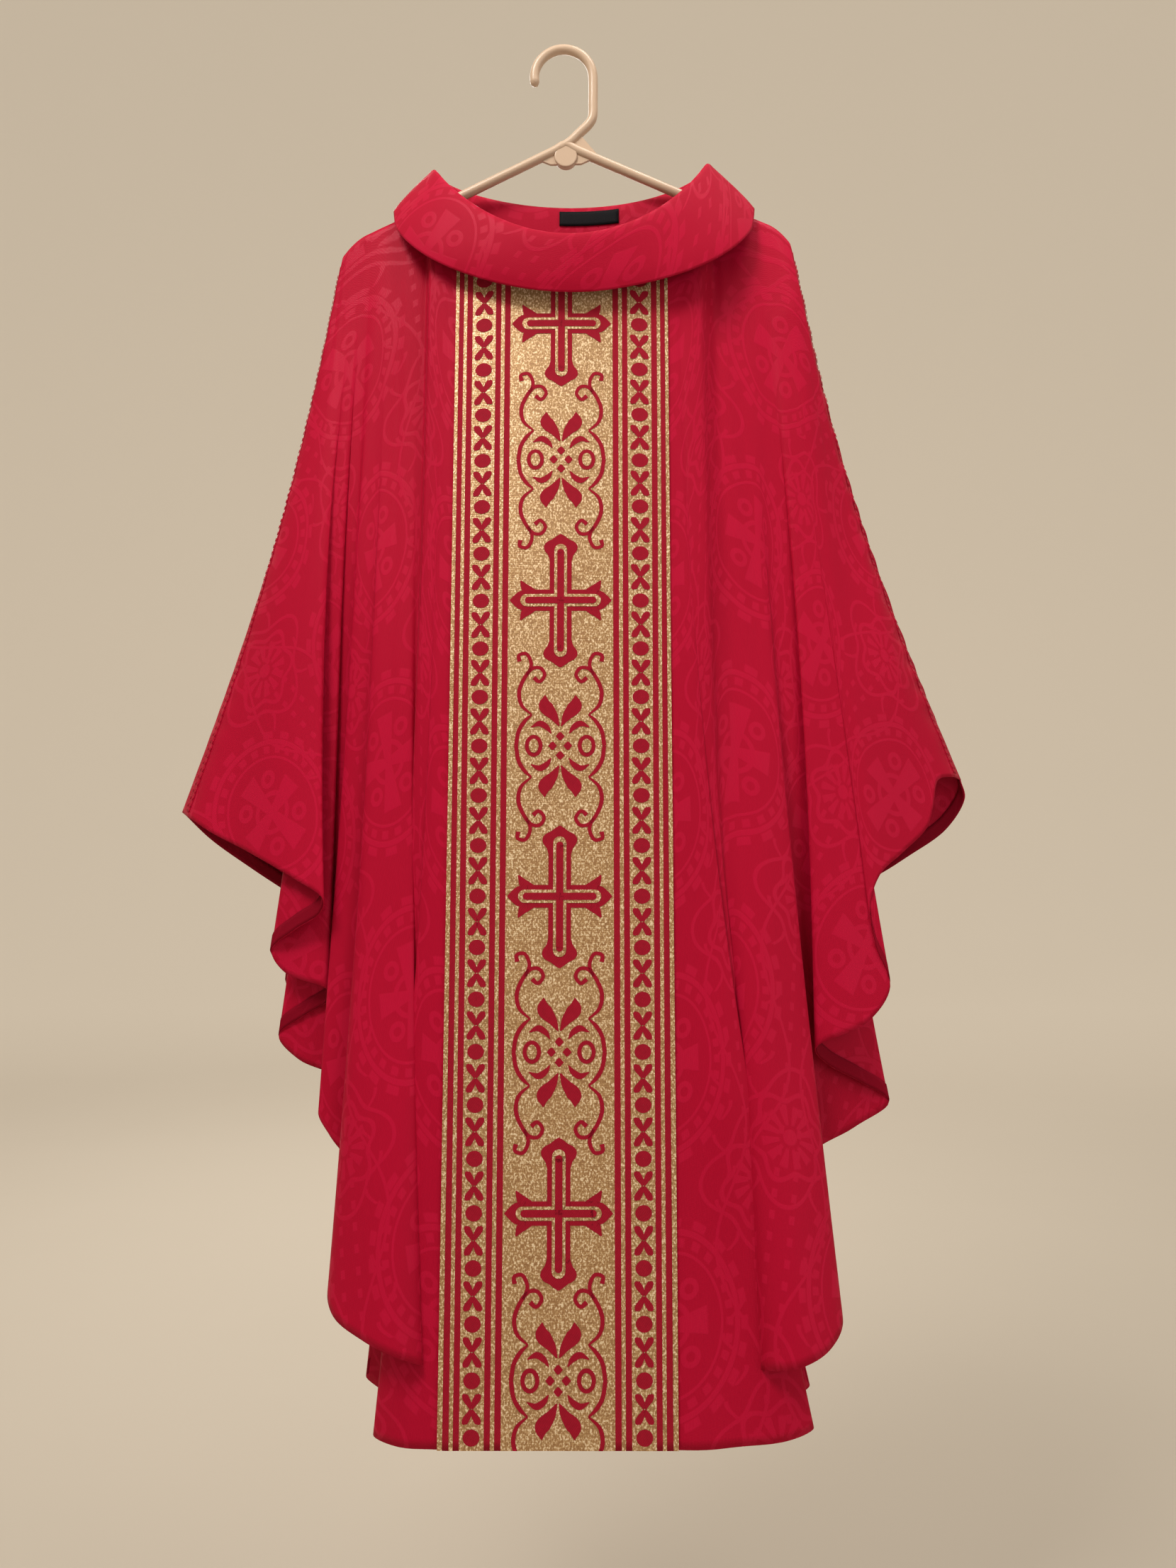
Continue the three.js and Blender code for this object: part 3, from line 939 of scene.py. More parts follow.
class Looks:
    """Every material of the chasuble and its hanger."""

    def __init__(self) -> None:
        """Makes them."""
        red_sheen = (1.0, 0.45, 0.5)
        damask = Finish("Damask", (0.44, 0.003, 0.028), 0.52, sheen=0.03, sheen_tint=red_sheen)
        self.damask = self._damask(damask, 0.62)
        self.reverse = self._damask(Finish("Damask reverse", (0.24, 0.002, 0.015), 0.75), 0.25)
        self.field = self._twill(Finish("Orphrey red", (0.33, 0.008, 0.024), 0.62), 0.25)
        self.gold = self._gold(Finish("Gold thread", (0.7, 0.44, 0.19), 0.42, metallic=0.35, specular=0.5))
        self.canvas = self._twill(Finish("Canvas", (0.66, 0.6, 0.5), 0.9), 0.3)
        self.tape = self._twill(Finish("Label tape", (0.008, 0.007, 0.009), 0.6), 0.35)
        self.thread = self._twill(Finish("Sewing thread", (0.42, 0.01, 0.035), 0.55), 0.2)
        plastic = Finish("Hanger plastic", (0.62, 0.45, 0.32), 0.34, specular=0.45, coat=0.1)
        self.plastic = self._plastic(plastic)

    def _damask(self, finish: Finish, contrast: float) -> bpy.types.Material:
        """The figured damask: satin figures on a matte ground, their lighter colour partly painted sheen.

        Args:
            finish: Its finish; the base is the ground's colour.
            contrast: How strongly the figure stands out.

        Returns:
            The material.
        """
        s = Shader(finish)
        uv, across, down = s.cloth()
        wide, tall = 0.17, 0.2
        figure = self._medallion(s, across.centred(wide), down.centred(tall), 0.058, 0.07)
        offset_x, offset_y = (across + wide / 2).centred(wide), (down + tall / 2).centred(tall)
        figure = figure.most(self._rosette(s, offset_x, offset_y))
        figure = figure.most(self._vine(s, across, down, wide, tall))
        worn = s.noise(uv, 14, 3)
        figure = figure * (worn * 0.35 + 0.78)
        # The figures' colour is the ground made lighter and pinker: a woven pattern whose lighter tone is
        # painted sheen.
        ground, satin_sheen = finish.base, tuple(min(1.0, c * g) for c, g in zip(finish.base, (1.28, 2.6, 1.7)))
        broad = s.noise(uv, 5, 2)
        colour = s.colours(figure * contrast, ground, satin_sheen)
        colour = s.colours(broad * 0.25, colour, tuple(c * 0.72 for c in ground))
        s.drive("Base Color", colour)
        s.drive("Roughness", figure * (-0.24 * contrast) + worn * 0.1 + (finish.roughness - 0.03))
        ribs = (across * (math.tau / 0.0011)).sine() * 0.25 + (down * (math.tau / 0.0009)).sine() * 0.15
        s.bump(figure * 0.8 + ribs, 0.00022, 0.7 * contrast)
        return s.material

    def _medallion(self, s: Shader, x: Value, y: Value, a: float, b: float) -> Value:
        """An oval frame with a beaded border and a flared cross inside.

        Args:
            s: The shader.
            x: Across, from the middle.
            y: Down, from the middle.
            a: The frame's half width.
            b: Its half height.

        Returns:
            1 on the figure.
        """
        r = (((x / a) * (x / a)) + ((y / b) * (y / b))).math("SQRT")
        angle = y.math("ARCTAN2", x)
        frame_line = abs(r - 1.0).within(0.035, 0.012).most(abs(r - 0.78).within(0.018, 0.01))
        beads = abs(r - 0.89).within(0.05, 0.02) * (angle * 26.0).sine().within(0.0, 0.5)
        rays = abs(r - 1.1).within(0.05, 0.02) * (angle * 20.0).sine().within(0.1, 0.4)
        ax, ay = abs(x), abs(y)
        upright = (ax - ay * 0.16).within(0.0035, 0.001) * ay.within(0.042, 0.0015)
        beam = (ay - ax * 0.22).within(0.0035, 0.001) * ax.within(0.033, 0.0015)
        ring = abs((x * x + y * y).math("SQRT") - 0.017).within(0.0022, 0.001)
        lobe_x, lobe_y = ax - 0.018, ay - 0.025
        lobes = abs((lobe_x * lobe_x + lobe_y * lobe_y).math("SQRT") - 0.006).within(0.0022, 0.001)
        figure = frame_line.most(beads).most(rays).most(upright)
        return figure.most(beam).most(ring).most(lobes)

    def _rosette(self, s: Shader, x: Value, y: Value) -> Value:
        """A rayed round figure with a heart-shaped border.

        Args:
            s: The shader.
            x: Across, from the middle.
            y: Down, from the middle.

        Returns:
            1 on the figure.
        """
        r = (x * x + y * y).math("SQRT")
        angle = y.math("ARCTAN2", x)
        rays = (angle * 12.0).sine().within(0.25, 0.3) * abs(r - 0.017).within(0.0075, 0.002)
        petals = abs(r - ((angle * 6.0).sine() * 0.004 + 0.032)).within(0.0022, 0.0012)
        outer = abs(r - ((angle * 4.0 + math.pi / 2).sine() * 0.008 + 0.046)).within(0.0018, 0.001)
        return r.within(0.0062, 0.001).most(rays).most(petals).most(outer)

    def _vine(self, s: Shader, across: Value, down: Value, wide: float, tall: float) -> Value:
        """Wavy stems with leaves that fill the ground between the medallions.

        Args:
            s: The shader.
            across: The cloth's coordinate across.
            down: The cloth's coordinate down.
            wide: The repeat across.
            tall: The repeat down.

        Returns:
            1 on the figure.
        """

        def wave(times: int) -> Value:
            return (down * (math.tau / tall * times)).sine()

        edge = abs((across + wide / 2).centred(wide))
        stem = abs(edge - wave(1) * 0.018 - 0.024).within(0.0014, 0.0008)
        tendril = abs(edge - wave(4) * 0.009 - 0.031).within(0.0018, 0.001) * wave(8).within(0.2, 0.3)
        dots = wave(12).within(-0.3, 0.3) * abs(edge - 0.008).within(0.0022, 0.001)
        return stem.most(tendril).most(dots)

    def _twill(self, finish: Finish, depth: float) -> bpy.types.Material:
        """A plain close weave.

        Args:
            finish: Its finish.
            depth: How deep the weave is.

        Returns:
            The material.
        """
        s = Shader(finish)
        place = s.place()
        x, z = s.apart(place, "X"), s.apart(place, "Z")
        ribs = ((x + z * 0.6) * (math.tau / 0.0014)).sine() * 0.5 + 0.5
        mottle = s.noise(place, 260, 2)
        low, high = tuple(c * 0.78 for c in finish.base), tuple(min(1.0, c * 1.22) for c in finish.base)
        s.drive("Base Color", s.colours(mottle * 0.6 + ribs * 0.4, low, high))
        s.drive("Roughness", mottle * 0.12 + (finish.roughness - 0.06))
        s.bump(ribs, 0.0003, depth)
        return s.material

    def _gold(self, finish: Finish) -> bpy.types.Material:
        """Metallic gold thread with a paler and a darker speckle.

        Args:
            finish: Its finish.

        Returns:
            The material.
        """
        s = Shader(finish)
        place = s.place()
        x, z = s.apart(place, "X"), s.apart(place, "Z")
        weave = (z * (math.tau / 0.0016)).sine() * ((x * (math.tau / 0.0013)).sine() * 0.5 + 0.5)
        flecks = s.noise(place, 760, 2, (1, 1, 0.7))
        broad = s.noise(place, 40, 2)
        share = (flecks - 0.38) * 3.2
        colour = s.colours(share.least(1.0).most(0.0), (0.34, 0.17, 0.07), finish.base)
        bright = (flecks - 0.52) * 7.0
        colour = s.colours(bright.least(1.0).most(0.0) * 0.85, colour, (1.0, 0.82, 0.58))
        s.drive("Base Color", s.colours(broad * 0.22, colour, (0.52, 0.33, 0.14)))
        s.drive("Roughness", flecks * 0.3 + (finish.roughness - 0.12))
        s.bump(weave * 0.5 + flecks, 0.0003, 0.5)
        return s.material

    def _plastic(self, finish: Finish) -> bpy.types.Material:
        """Smooth moulded plastic, a little cloudy and handled.

        Args:
            finish: Its finish.

        Returns:
            The material.
        """
        s = Shader(finish)
        place = s.place()
        cloud = s.noise(place, 30, 3)
        scuffs = s.noise(place, 420, 4, (1, 1, 0.3))
        s.drive("Base Color", s.colours(cloud * 0.5, finish.base, tuple(c * 0.86 for c in finish.base)))
        s.drive("Roughness", scuffs * 0.18 + (finish.roughness - 0.06))
        s.bump(scuffs, 0.0001, 0.15)
        return s.material


# ---- The hanger ----------------------------------------------------------------------------------


class Hanger:
    """The moulded tubular hanger."""

    def __init__(self, size: HangerSize, looks: Looks) -> None:
        """Makes the hanger.

        Args:
            size: Its sizes.
            looks: The materials.
        """
        self.size = size
        shell = Shell("hanger_moulding", looks.plastic)
        shell.tube(self.leant(self.frame_line()), size.tube, loop=True)
        shell.tube(self.leant(self.hook_line()), size.tube)
        self.boss(shell)
        self.piece = shell.done()
        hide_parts("hanger")
        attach(self.piece, "hanger")

    def leant(self, line: Sequence[tuple[float, float]]) -> list[Vector]:
        """Rounds a line of (x, z) places and leans it.

        Args:
            line: The places.

        Returns:
            Its points.
        """
        return [Vector((x, 0, z)) for x, z in (self.size.leant(*p) for p in line)]

    def frame_line(self) -> list[tuple[float, float]]:
        """The arms and lower bar's centre, as a ring.

        Returns:
            Its places.
        """
        s = self.size
        end, r = s.apex_z - s.arm_drop, s.bar_drop / 2
        right = [
            (0, s.apex_z),
            (s.half_span * 0.06, s.apex_z - s.arm_drop * 0.062),
            (s.half_span * 0.5, s.apex_z - s.arm_drop * 0.5),
            (s.half_span * 0.8, s.apex_z - s.arm_drop * 0.8),
            (s.half_span - r * 1.1, end + r * 0.5),
            (s.half_span - r * 0.3, end - r * 0.05),
            (s.half_span, end - r * 0.8),
            (s.half_span - r * 0.35, end - r * 1.6),
            (s.half_span - r * 1.3, end - s.bar_drop),
            (s.half_span * 0.6, end - s.bar_drop),
            (0, end - s.bar_drop),
        ]
        ring = right + [(-x, z) for x, z in right[-2:0:-1]]
        pts = np.array([(x, 0, z) for x, z in ring], dtype=float)
        wrapped = np.concatenate([pts[-2:], pts, pts[:3]])[:, None, :]
        curve = through(wrapped, [10] * (len(wrapped) - 1))[:, 0]
        return [(p[0], p[2]) for p in curve[20 : 20 + 10 * len(pts)]]

    def hook_line(self) -> list[tuple[float, float]]:
        """The hook and stem's centre.

        Returns:
            Its places.
        """
        s = self.size
        centre = s.hook_radius - s.tube
        crown = [
            (s.hook_radius * math.cos(a), s.hook_radius * math.sin(a) - centre)
            for a in np.linspace(math.radians(187), 0, 14)
        ]
        foot = -centre - s.stem
        stem = [
            (s.hook_radius - 0.6, foot * 0.7),
            (s.hook_radius - 1.6, foot * 0.92),
            (s.hook_radius - 5.5, foot - 1),
            (s.hook_radius * 0.5, foot - 8.5),
            (4.0, s.apex_z + 3),
            (-6.0, s.apex_z - 2.8),
        ]
        pts = np.array([(x, 0, z) for x, z in crown + stem], dtype=float)[:, None, :]
        curve = through(pts, [5] * (len(pts) - 1))[:, 0]
        return [(p[0], p[2]) for p in curve]

    def boss(self, shell: Shell) -> None:
        """Adds the round boss and the webs beside it.

        Args:
            shell: The hanger's shell.
        """
        s = self.size
        x, z = s.leant(0, s.apex_z - s.tube - 7)
        turn = Vector((0, 1, 0)).to_track_quat("Z", "Y").to_matrix().to_4x4()
        made = bmesh.ops.create_cone(
            shell.bm,
            cap_ends=True,
            segments=48,
            radius1=s.boss_radius * MM,
            radius2=s.boss_radius * MM,
            depth=s.boss_thickness * MM,
            matrix=turn,
        )["verts"]
        bmesh.ops.translate(shell.bm, verts=made, vec=Vector((x, 0, z)) * MM)
        rim = [e for e in {e for v in made for e in v.link_edges} if e.calc_face_angle(0) > 1]
        bmesh.ops.bevel(
            shell.bm, geom=rim, affect="EDGES", offset=1.2 * MM, segments=3, profile=0.5, material=-1
        )
        outline = [(3, 3), (14, 9), (30, -11), (14, -18), (-14, -18), (-30, -11)]
        face = [shell.bm.verts.new(Vector((*s.leant(px, s.apex_z + pz), 0)).xzy * MM) for px, pz in outline]
        for v in face:
            v.co.y = -s.web / 2 * MM
        sheet = shell.bm.faces.new(face)
        extruded = bmesh.ops.extrude_face_region(shell.bm, geom=[sheet])["geom"]
        moved = [g for g in extruded if isinstance(g, bmesh.types.BMVert)]
        bmesh.ops.translate(shell.bm, verts=moved, vec=(0, s.web * MM, 0))
        bmesh.ops.recalc_face_normals(shell.bm, faces=shell.bm.faces)


# ---- What is sewn together -----------------------------------------------------------------------


class Garment:
    """What is sewn together, and moves as one."""

    def declare(self, piece: bpy.types.Object, node: str, slot: str) -> bpy.types.Object:
        """Hides the CAD node's part, which the piece stands in for, and hangs the piece on the chasuble's
        body.

        Args:
            piece: The piece.
            node: The node.
            slot: Not used.

        Returns:
            The piece.
        """
        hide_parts(node)
        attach(piece, "chasuble")
        return piece


# ---- The collar ----------------------------------------------------------------------------------


class Collar(Garment):
    """The wide roll collar, its interlining and under layer, and the blank label inside it."""

    def __init__(self, size: CollarSize, looks: Looks) -> None:
        """Makes the collar.

        Args:
            size: Its sizes.
            looks: The materials.
        """
        self.size = size
        turns = -np.linspace(0, math.tau, size.columns, endpoint=False)
        net = np.stack([self.section(t) for t in turns])
        rows = through(net.transpose(1, 0, 2), [5, 5, 4, 4, 4, 4, 5, 5])
        self.surface = Surface(self.creased(rows.transpose(1, 0, 2), turns), loop=True)
        outer = ("collar_outer_cloth", "collar_outer", "damask")
        canvas = ("collar_canvas", "collar_interlining", "canvas")
        under = ("collar_under_cloth", "collar_under", "damask_reverse")
        self.pieces = [
            self.layer(outer, looks.damask, 0.5, CLOTH.damask),
            self.layer(canvas, looks.canvas, -0.7, CLOTH.canvas, 3),
            self.layer(under, looks.reverse, -1.9, CLOTH.damask, 1),
        ]
        self.label(looks)

    def section(self, turn: float) -> np.ndarray:
        """One section of the roll: up the inside, over the crest and down to the fall's edge.

        Args:
            turn: Angle round the neck.

        Returns:
            Its points, (9, 3).
        """
        s = self.size
        c, n = math.cos(turn), math.sin(turn)
        near, way = abs(n), math.copysign(1, n)
        middles = (s.front_z, s.front_y, s.edge_front_z, s.edge_front_y)
        if n > 0:
            middles = (s.back_z, s.back_y, s.edge_back_z, s.edge_back_y)
        crest_z, crest_y, edge_z, edge_y = middles
        side_z = s.side_z + s.side_tilt * c
        x = s.crest_centre + s.crest_half * c
        crest = Vector((x, crest_y * near**0.8, side_z + (crest_z - side_z) * near**s.crest_dip))
        edge = Vector((s.edge_centre + s.edge_half * c, edge_y * near**0.75, 0))
        edge.z = s.edge_side_z + (edge_z - s.edge_side_z) * near**s.edge_dip
        over_arm = ramp(abs(edge.y), 20, 4)
        rise = max(0.0, HANGER.top_at(edge.x) + s.edge_over_arm - edge.z)
        edge.z += rise * over_arm**2 * (3 - 2 * over_arm)
        ends = [HANGER.top_at(NECK.centre + k * NECK.half_width) for k in (-1, 1)]
        drop = NECK.front_drop if way < 0 else NECK.back_drop
        neck_z = ends[0] + (ends[1] - ends[0]) * (c + 1) / 2 + 5 - drop * near**1.2
        neck = Vector((NECK.centre + (NECK.half_width - 3) * c, crest.y * 0.9, neck_z))
        out, up = Vector((c, n * 0.8, 0)).normalized(), Vector((0, 0, 1))
        roll = s.roll
        return np.array(
            [
                neck,
                neck.lerp(crest, 0.45) - out * 0.8,
                neck.lerp(crest, 0.88) - out * 0.3,
                crest + out * (roll * 0.12) - up * 0.5,
                crest + out * (roll * 0.5) + up * 1.2,
                crest.lerp(edge, 0.07) + out * (roll * 0.78),
                crest.lerp(edge, 0.45) + out * (roll * 0.95),
                crest.lerp(edge, 0.8) + out * (roll * 0.85),
                edge + out * (roll * 0.6),
            ]
        )

    def creased(self, points: np.ndarray, turns: np.ndarray) -> np.ndarray:
        """Adds the soft creases that run round and down a roll collar.

        Args:
            points: The smooth roll.
            turns: Each column's angle.

        Returns:
            The creased points.
        """
        share = np.linspace(0, 1, points.shape[1])[None, :]
        outward = np.stack([np.cos(turns), np.sin(turns), np.zeros_like(turns)], axis=-1)[:, None, :]
        swell = noise_at(points, (90, 60, 60), 5.2) * 2.2 + noise_at(points, (34, 30, 60), 8.8) * 0.5
        frontness = np.clip(-np.sin(turns), 0.15, 1)[:, None]
        weight = np.clip((share - 0.4) * 3, 0.1, 1) * frontness
        moved = points + outward * ((swell * weight)[..., None])
        moved[..., 2] += noise_at(points, (120, 60, 200), 1.4) * 1.6 * weight
        return moved

    def layer(
        self, names: tuple[str, str, str], look: bpy.types.Material, lift: float, thick: float, short: int = 0
    ) -> bpy.types.Object:
        """One layer of the collar.

        Args:
            names: The piece's name, the CAD node that it stands for and its material slot.
            look: Its material.
            lift: How far its middle lies off the surface.
            thick: Its thickness.
            short: How many rows it stops short of the fall's edge.

        Returns:
            The piece.
        """
        name, node, slot = names
        shell = Shell(name, look)
        rows = slice(0, self.surface.points.shape[1] - short)
        shell.grid(self.surface.lifted(lift)[:, rows], self.surface.cloth[:, rows], loop=True)
        return self.declare(shell.done(thick), node, slot)

    def label(self, looks: Looks) -> None:
        """Adds the blank label behind the neck.

        Args:
            looks: The materials.
        """
        s = self.size
        wide, tall = s.label
        points = self.surface.lifted(1.5)
        crest = int(np.argmax(self.surface.points[s.columns * 3 // 4, :, 2]))
        back = [k for k in range(s.columns) if self.surface.points[k, crest, 1] > 4]
        xs = points[back, crest, 0]
        order = np.argsort(xs)
        grid = []
        for x in np.linspace(s.label_x - wide / 2, s.label_x + wide / 2, 15):
            rows = [points[back, j][order] for j in range(crest + 1)]
            column = np.array([[np.interp(x, xs[order], row[:, a]) for a in range(3)] for row in rows])
            reach = np.concatenate([[0], np.cumsum(np.linalg.norm(np.diff(column, axis=0), axis=1))])
            places = reach[-1] - s.label_drop - tall + np.linspace(0, tall, 6)
            grid.append([[np.interp(p, reach, column[:, a]) for a in range(3)] for p in places])
        points = np.array(grid)
        points[..., 0] = np.linspace(s.label_x - wide / 2, s.label_x + wide / 2, 15)[:, None]
        points[..., 1] -= 0.5
        shell = Shell("neck_label_tape", looks.tape)
        shell.grid(points[:, ::-1])
        self.declare(shell.done(0.5), "neck_label", "label_tape")


# ---- The orphrey ---------------------------------------------------------------------------------


class Orphrey(Garment):
    """One woven band with its gold lines, crosses and scrolls, laid on a panel."""

    def __init__(self, panel: Panel, looks: Looks) -> None:
        """Makes the band.

        Args:
            panel: The panel that it is sewn to.
            looks: The materials.
        """
        self.panel = panel
        self.word = panel.face.name.lower()
        columns = slice(panel.first, panel.last + 1)
        part, cloth = panel.patch(columns, slice(1, panel.ROWS))
        self.levels = CLOTH.damask / 2 + CLOTH.gap
        canvas = Shell(f"{self.word}_orphrey_canvas", looks.canvas)
        canvas.grid(part.lifted(self.levels + CLOTH.canvas / 2), cloth)
        self.declare(canvas.done(CLOTH.canvas), f"{self.word}_orphrey_interlining", "canvas")
        top = self.levels + CLOTH.canvas + CLOTH.gap
        band = Shell(f"{self.word}_orphrey_band", looks.field)
        band.grid(part.lifted(top + CLOTH.band / 2), cloth)
        self.band = self.declare(band.done(CLOTH.band), f"{self.word}_orphrey", "orphrey")
        self.top = top + CLOTH.band
        self.gold = Shell(f"{self.word}_orphrey_gold", looks.gold, looks.field)
        self.lines()
        self.side_figures()
        if panel.face is Face.BACK:
            self.scroll(BAND.first_cross_z + BAND.pitch / 2)
        for k in range(4):
            z = BAND.first_cross_z - k * BAND.pitch
            self.cross(z)
            self.scroll(z - BAND.pitch / 2)
        self.figures = self.gold.done()
        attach(self.figures, "chasuble")

    def lay(self, xs: np.ndarray, zs: np.ndarray, level: int, red: bool) -> None:
        """Adds one grid of the figure.

        Args:
            xs: Places across, (n, m).
            zs: Heights, (n, m).
            level: How many layers of relief lie under it.
            red: Red thread or gold.
        """
        points = self.panel.laid(xs, zs, self.top + 0.12 + level * CLOTH.relief)
        self.gold.grid(points, material=int(red))

    def lines(self) -> None:
        """The gold field, strips and lines that run the band's length."""
        heights = np.linspace(self.panel.surface.points[self.panel.first, 2, 2], FRONT_HEM, 110)
        spans = [(-BAND.field_half, BAND.field_half)]
        for a, b in (BAND.inner_line, BAND.strip, BAND.outer_line, BAND.edge_line):
            spans += [(a, b), (-b, -a)]
        for a, b in spans:
            across = np.linspace(a, b, max(2, int((b - a) / 6)))
            xs, zs = np.meshgrid(across, heights, indexing="ij")
            self.lay(xs * 0.999, zs, 0, False)

    def stroke(
        self, line: Sequence[tuple[float, float]], widths: Sequence[float], level: int, red: bool
    ) -> None:
        """A thick line through places.

        Args:
            line: Its centre, in band coordinates.
            widths: Its widths at those places.
            level: Its layer.
            red: Red thread or gold.
        """
        net = np.array([(x, w, z) for (x, z), w in zip(line, widths)], dtype=float)[:, None, :]
        curve = through(net, [6] * (len(net) - 1))[:, 0]
        along = np.gradient(curve[:, [0, 2]], axis=0)
        along /= np.maximum(np.linalg.norm(along, axis=1, keepdims=True), 1e-9)
        side = np.stack([-along[:, 1], along[:, 0]], axis=1) * np.abs(curve[:, 1:2]) / 2
        xs = np.stack([curve[:, 0] + side[:, 0] * k for k in (-1, 0, 1)], axis=1)
        zs = np.stack([curve[:, 2] + side[:, 1] * k for k in (-1, 0, 1)], axis=1)
        self.lay(xs, zs, level, red)

    def oval(self, x: float, z: float, a: float, b: float, level: int, red: bool, turn: float = 0.0) -> None:
        """A filled ellipse.

        Args:
            x: Its middle across.
            z: Its middle's height.
            a: Half its width.
            b: Half its height.
            level: Its layer.
            red: Red thread or gold.
            turn: Degrees that it is turned.
        """
        t = np.linspace(0, math.tau, 21)
        c, s = math.cos(math.radians(turn)), math.sin(math.radians(turn))
        xs = np.stack([k * a * np.cos(t) for k in (0.02, 1)], axis=1)
        zs = np.stack([k * b * np.sin(t) for k in (0.02, 1)], axis=1)
        self.lay(x + xs * c - zs * s, z + xs * s + zs * c, level, red)

    def side_figures(self) -> None:
        """The ovals and four-leaved figures of both side strips."""
        x = sum(BAND.strip) / 2
        count = int((BAND.first_cross_z - FRONT_HEM) / BAND.side_pitch) + 2
        for k in range(-1 if self.panel.face is Face.BACK else 0, count):
            z = BAND.first_cross_z + (1 - k) * BAND.side_pitch
            low = z - BAND.side_pitch / 2
            for side in (-x, x):
                self.oval(side, z, 6.9, 6.2, 1, True)
                for across, way in ((-1, -1), (-1, 1), (1, -1), (1, 1)):
                    leaf = [(0.2, 0.4), (2.0, 3.9), (4.4, 7.6), (5.7, 10.1), (5.9, 11.2)]
                    placed = [(side + across * u, low + way * w) for u, w in leaf]
                    self.stroke(placed, [2.4, 4.4, 5.6, 4.4, 0.6], 1, True)

    def cross(self, z: float) -> None:
        """A budded cross with a gold line round its red core.

        Args:
            z: Height of its middle.
        """
        self.stroke([(0, z + 38), (0, z), (0, z - 38)], [18.4, 18.4, 18.4], 1, True)
        self.stroke([(-31, z), (0, z), (31, z)], [18.4, 18.4, 18.4], 1, True)
        for way in (-1, 1):
            bud = [(0, z + way * y) for y in (34, 39, 43, 46.5, 50, 53, 55.5, 57.5)]
            self.stroke(bud, [18.4, 21.5, 27, 28.4, 24.5, 14, 7.5, 1.0], 1, True)
            tip = [(way * x, z) for x in (30, 35, 39, 42.6)]
            self.stroke(tip, [18.4, 15, 8.5, 0.6], 1, True)
            for side in (-1, 1):
                hook = [(side * 22, z + way * 6), (side * 28.5, z + way * 9.5), (side * 33.6, z + way * 17)]
                self.stroke(hook, [6.5, 8.0, 1.2], 1, True)
        for level, red, fat, tall, wide in ((2, False, 10.6, 43.3, 28.4), (3, True, 5.8, 41.5, 27)):
            upright = [(0, z + tall), (0, z), (0, z - tall)]
            beam = [(-wide, z), (0, z), (wide, z)]
            for line in (upright, beam):
                self.stroke(line, [fat, fat, fat], level, red)
                for x, y in sorted((line[0], line[-1])):
                    self.oval(x, y, fat / 2, fat / 2, level, red)

    def scroll(self, z: float) -> None:
        """The leafy scroll between two crosses.

        Args:
            z: Height of its middle.
        """
        for x, y in ((6.3, 0), (-6.3, 0), (0, 8), (0, -8)):
            self.stroke([(x - 3.6, z + y), (x, z + y), (x + 3.6, z + y)], [0.3, 7.2, 0.3], 1, True)
        curves = [
            ([(7.4, 10.2), (11, 15.4), (16.5, 18.6), (24, 15.6)], [0.8, 4.4, 5.0, 0.8]),
            ([(0.9, 16.5), (5.6, 25), (12.2, 33.4), (12.6, 42.6)], [1.0, 7.6, 11.4, 0.6]),
            ([(36.4, 0), (34.2, 12.5), (29, 21), (23.5, 26)], [3.4, 3.4, 3.2, 1.4]),
            (
                [(23.5, 26), (32, 34), (34.2, 45), (29.8, 57), (23, 65.2)]
                + [(16.4, 65.4), (13, 59.5), (17.4, 54), (22, 57.4)],
                [1.4, 3.0, 3.4, 3.2, 3.0, 3.0, 3.0, 3.0, 3.8],
            ),
            ([(27.4, 59.5), (24.2, 69), (28.5, 77.6), (34.6, 76.2), (34, 71)], [2.2, 3.0, 3.0, 3.0, 3.8]),
        ]
        for side in (-1, 1):
            self.oval(side * 21.8, z, 7.4, 9.2, 1, True)
            self.oval(side * 21.8, z, 4.0, 5.8, 2, False)
            for way in (-1, 1):
                for points, widths in curves:
                    self.stroke([(side * x, z + way * y) for x, y in points], widths, 1, True)


# ---- The chasuble --------------------------------------------------------------------------------


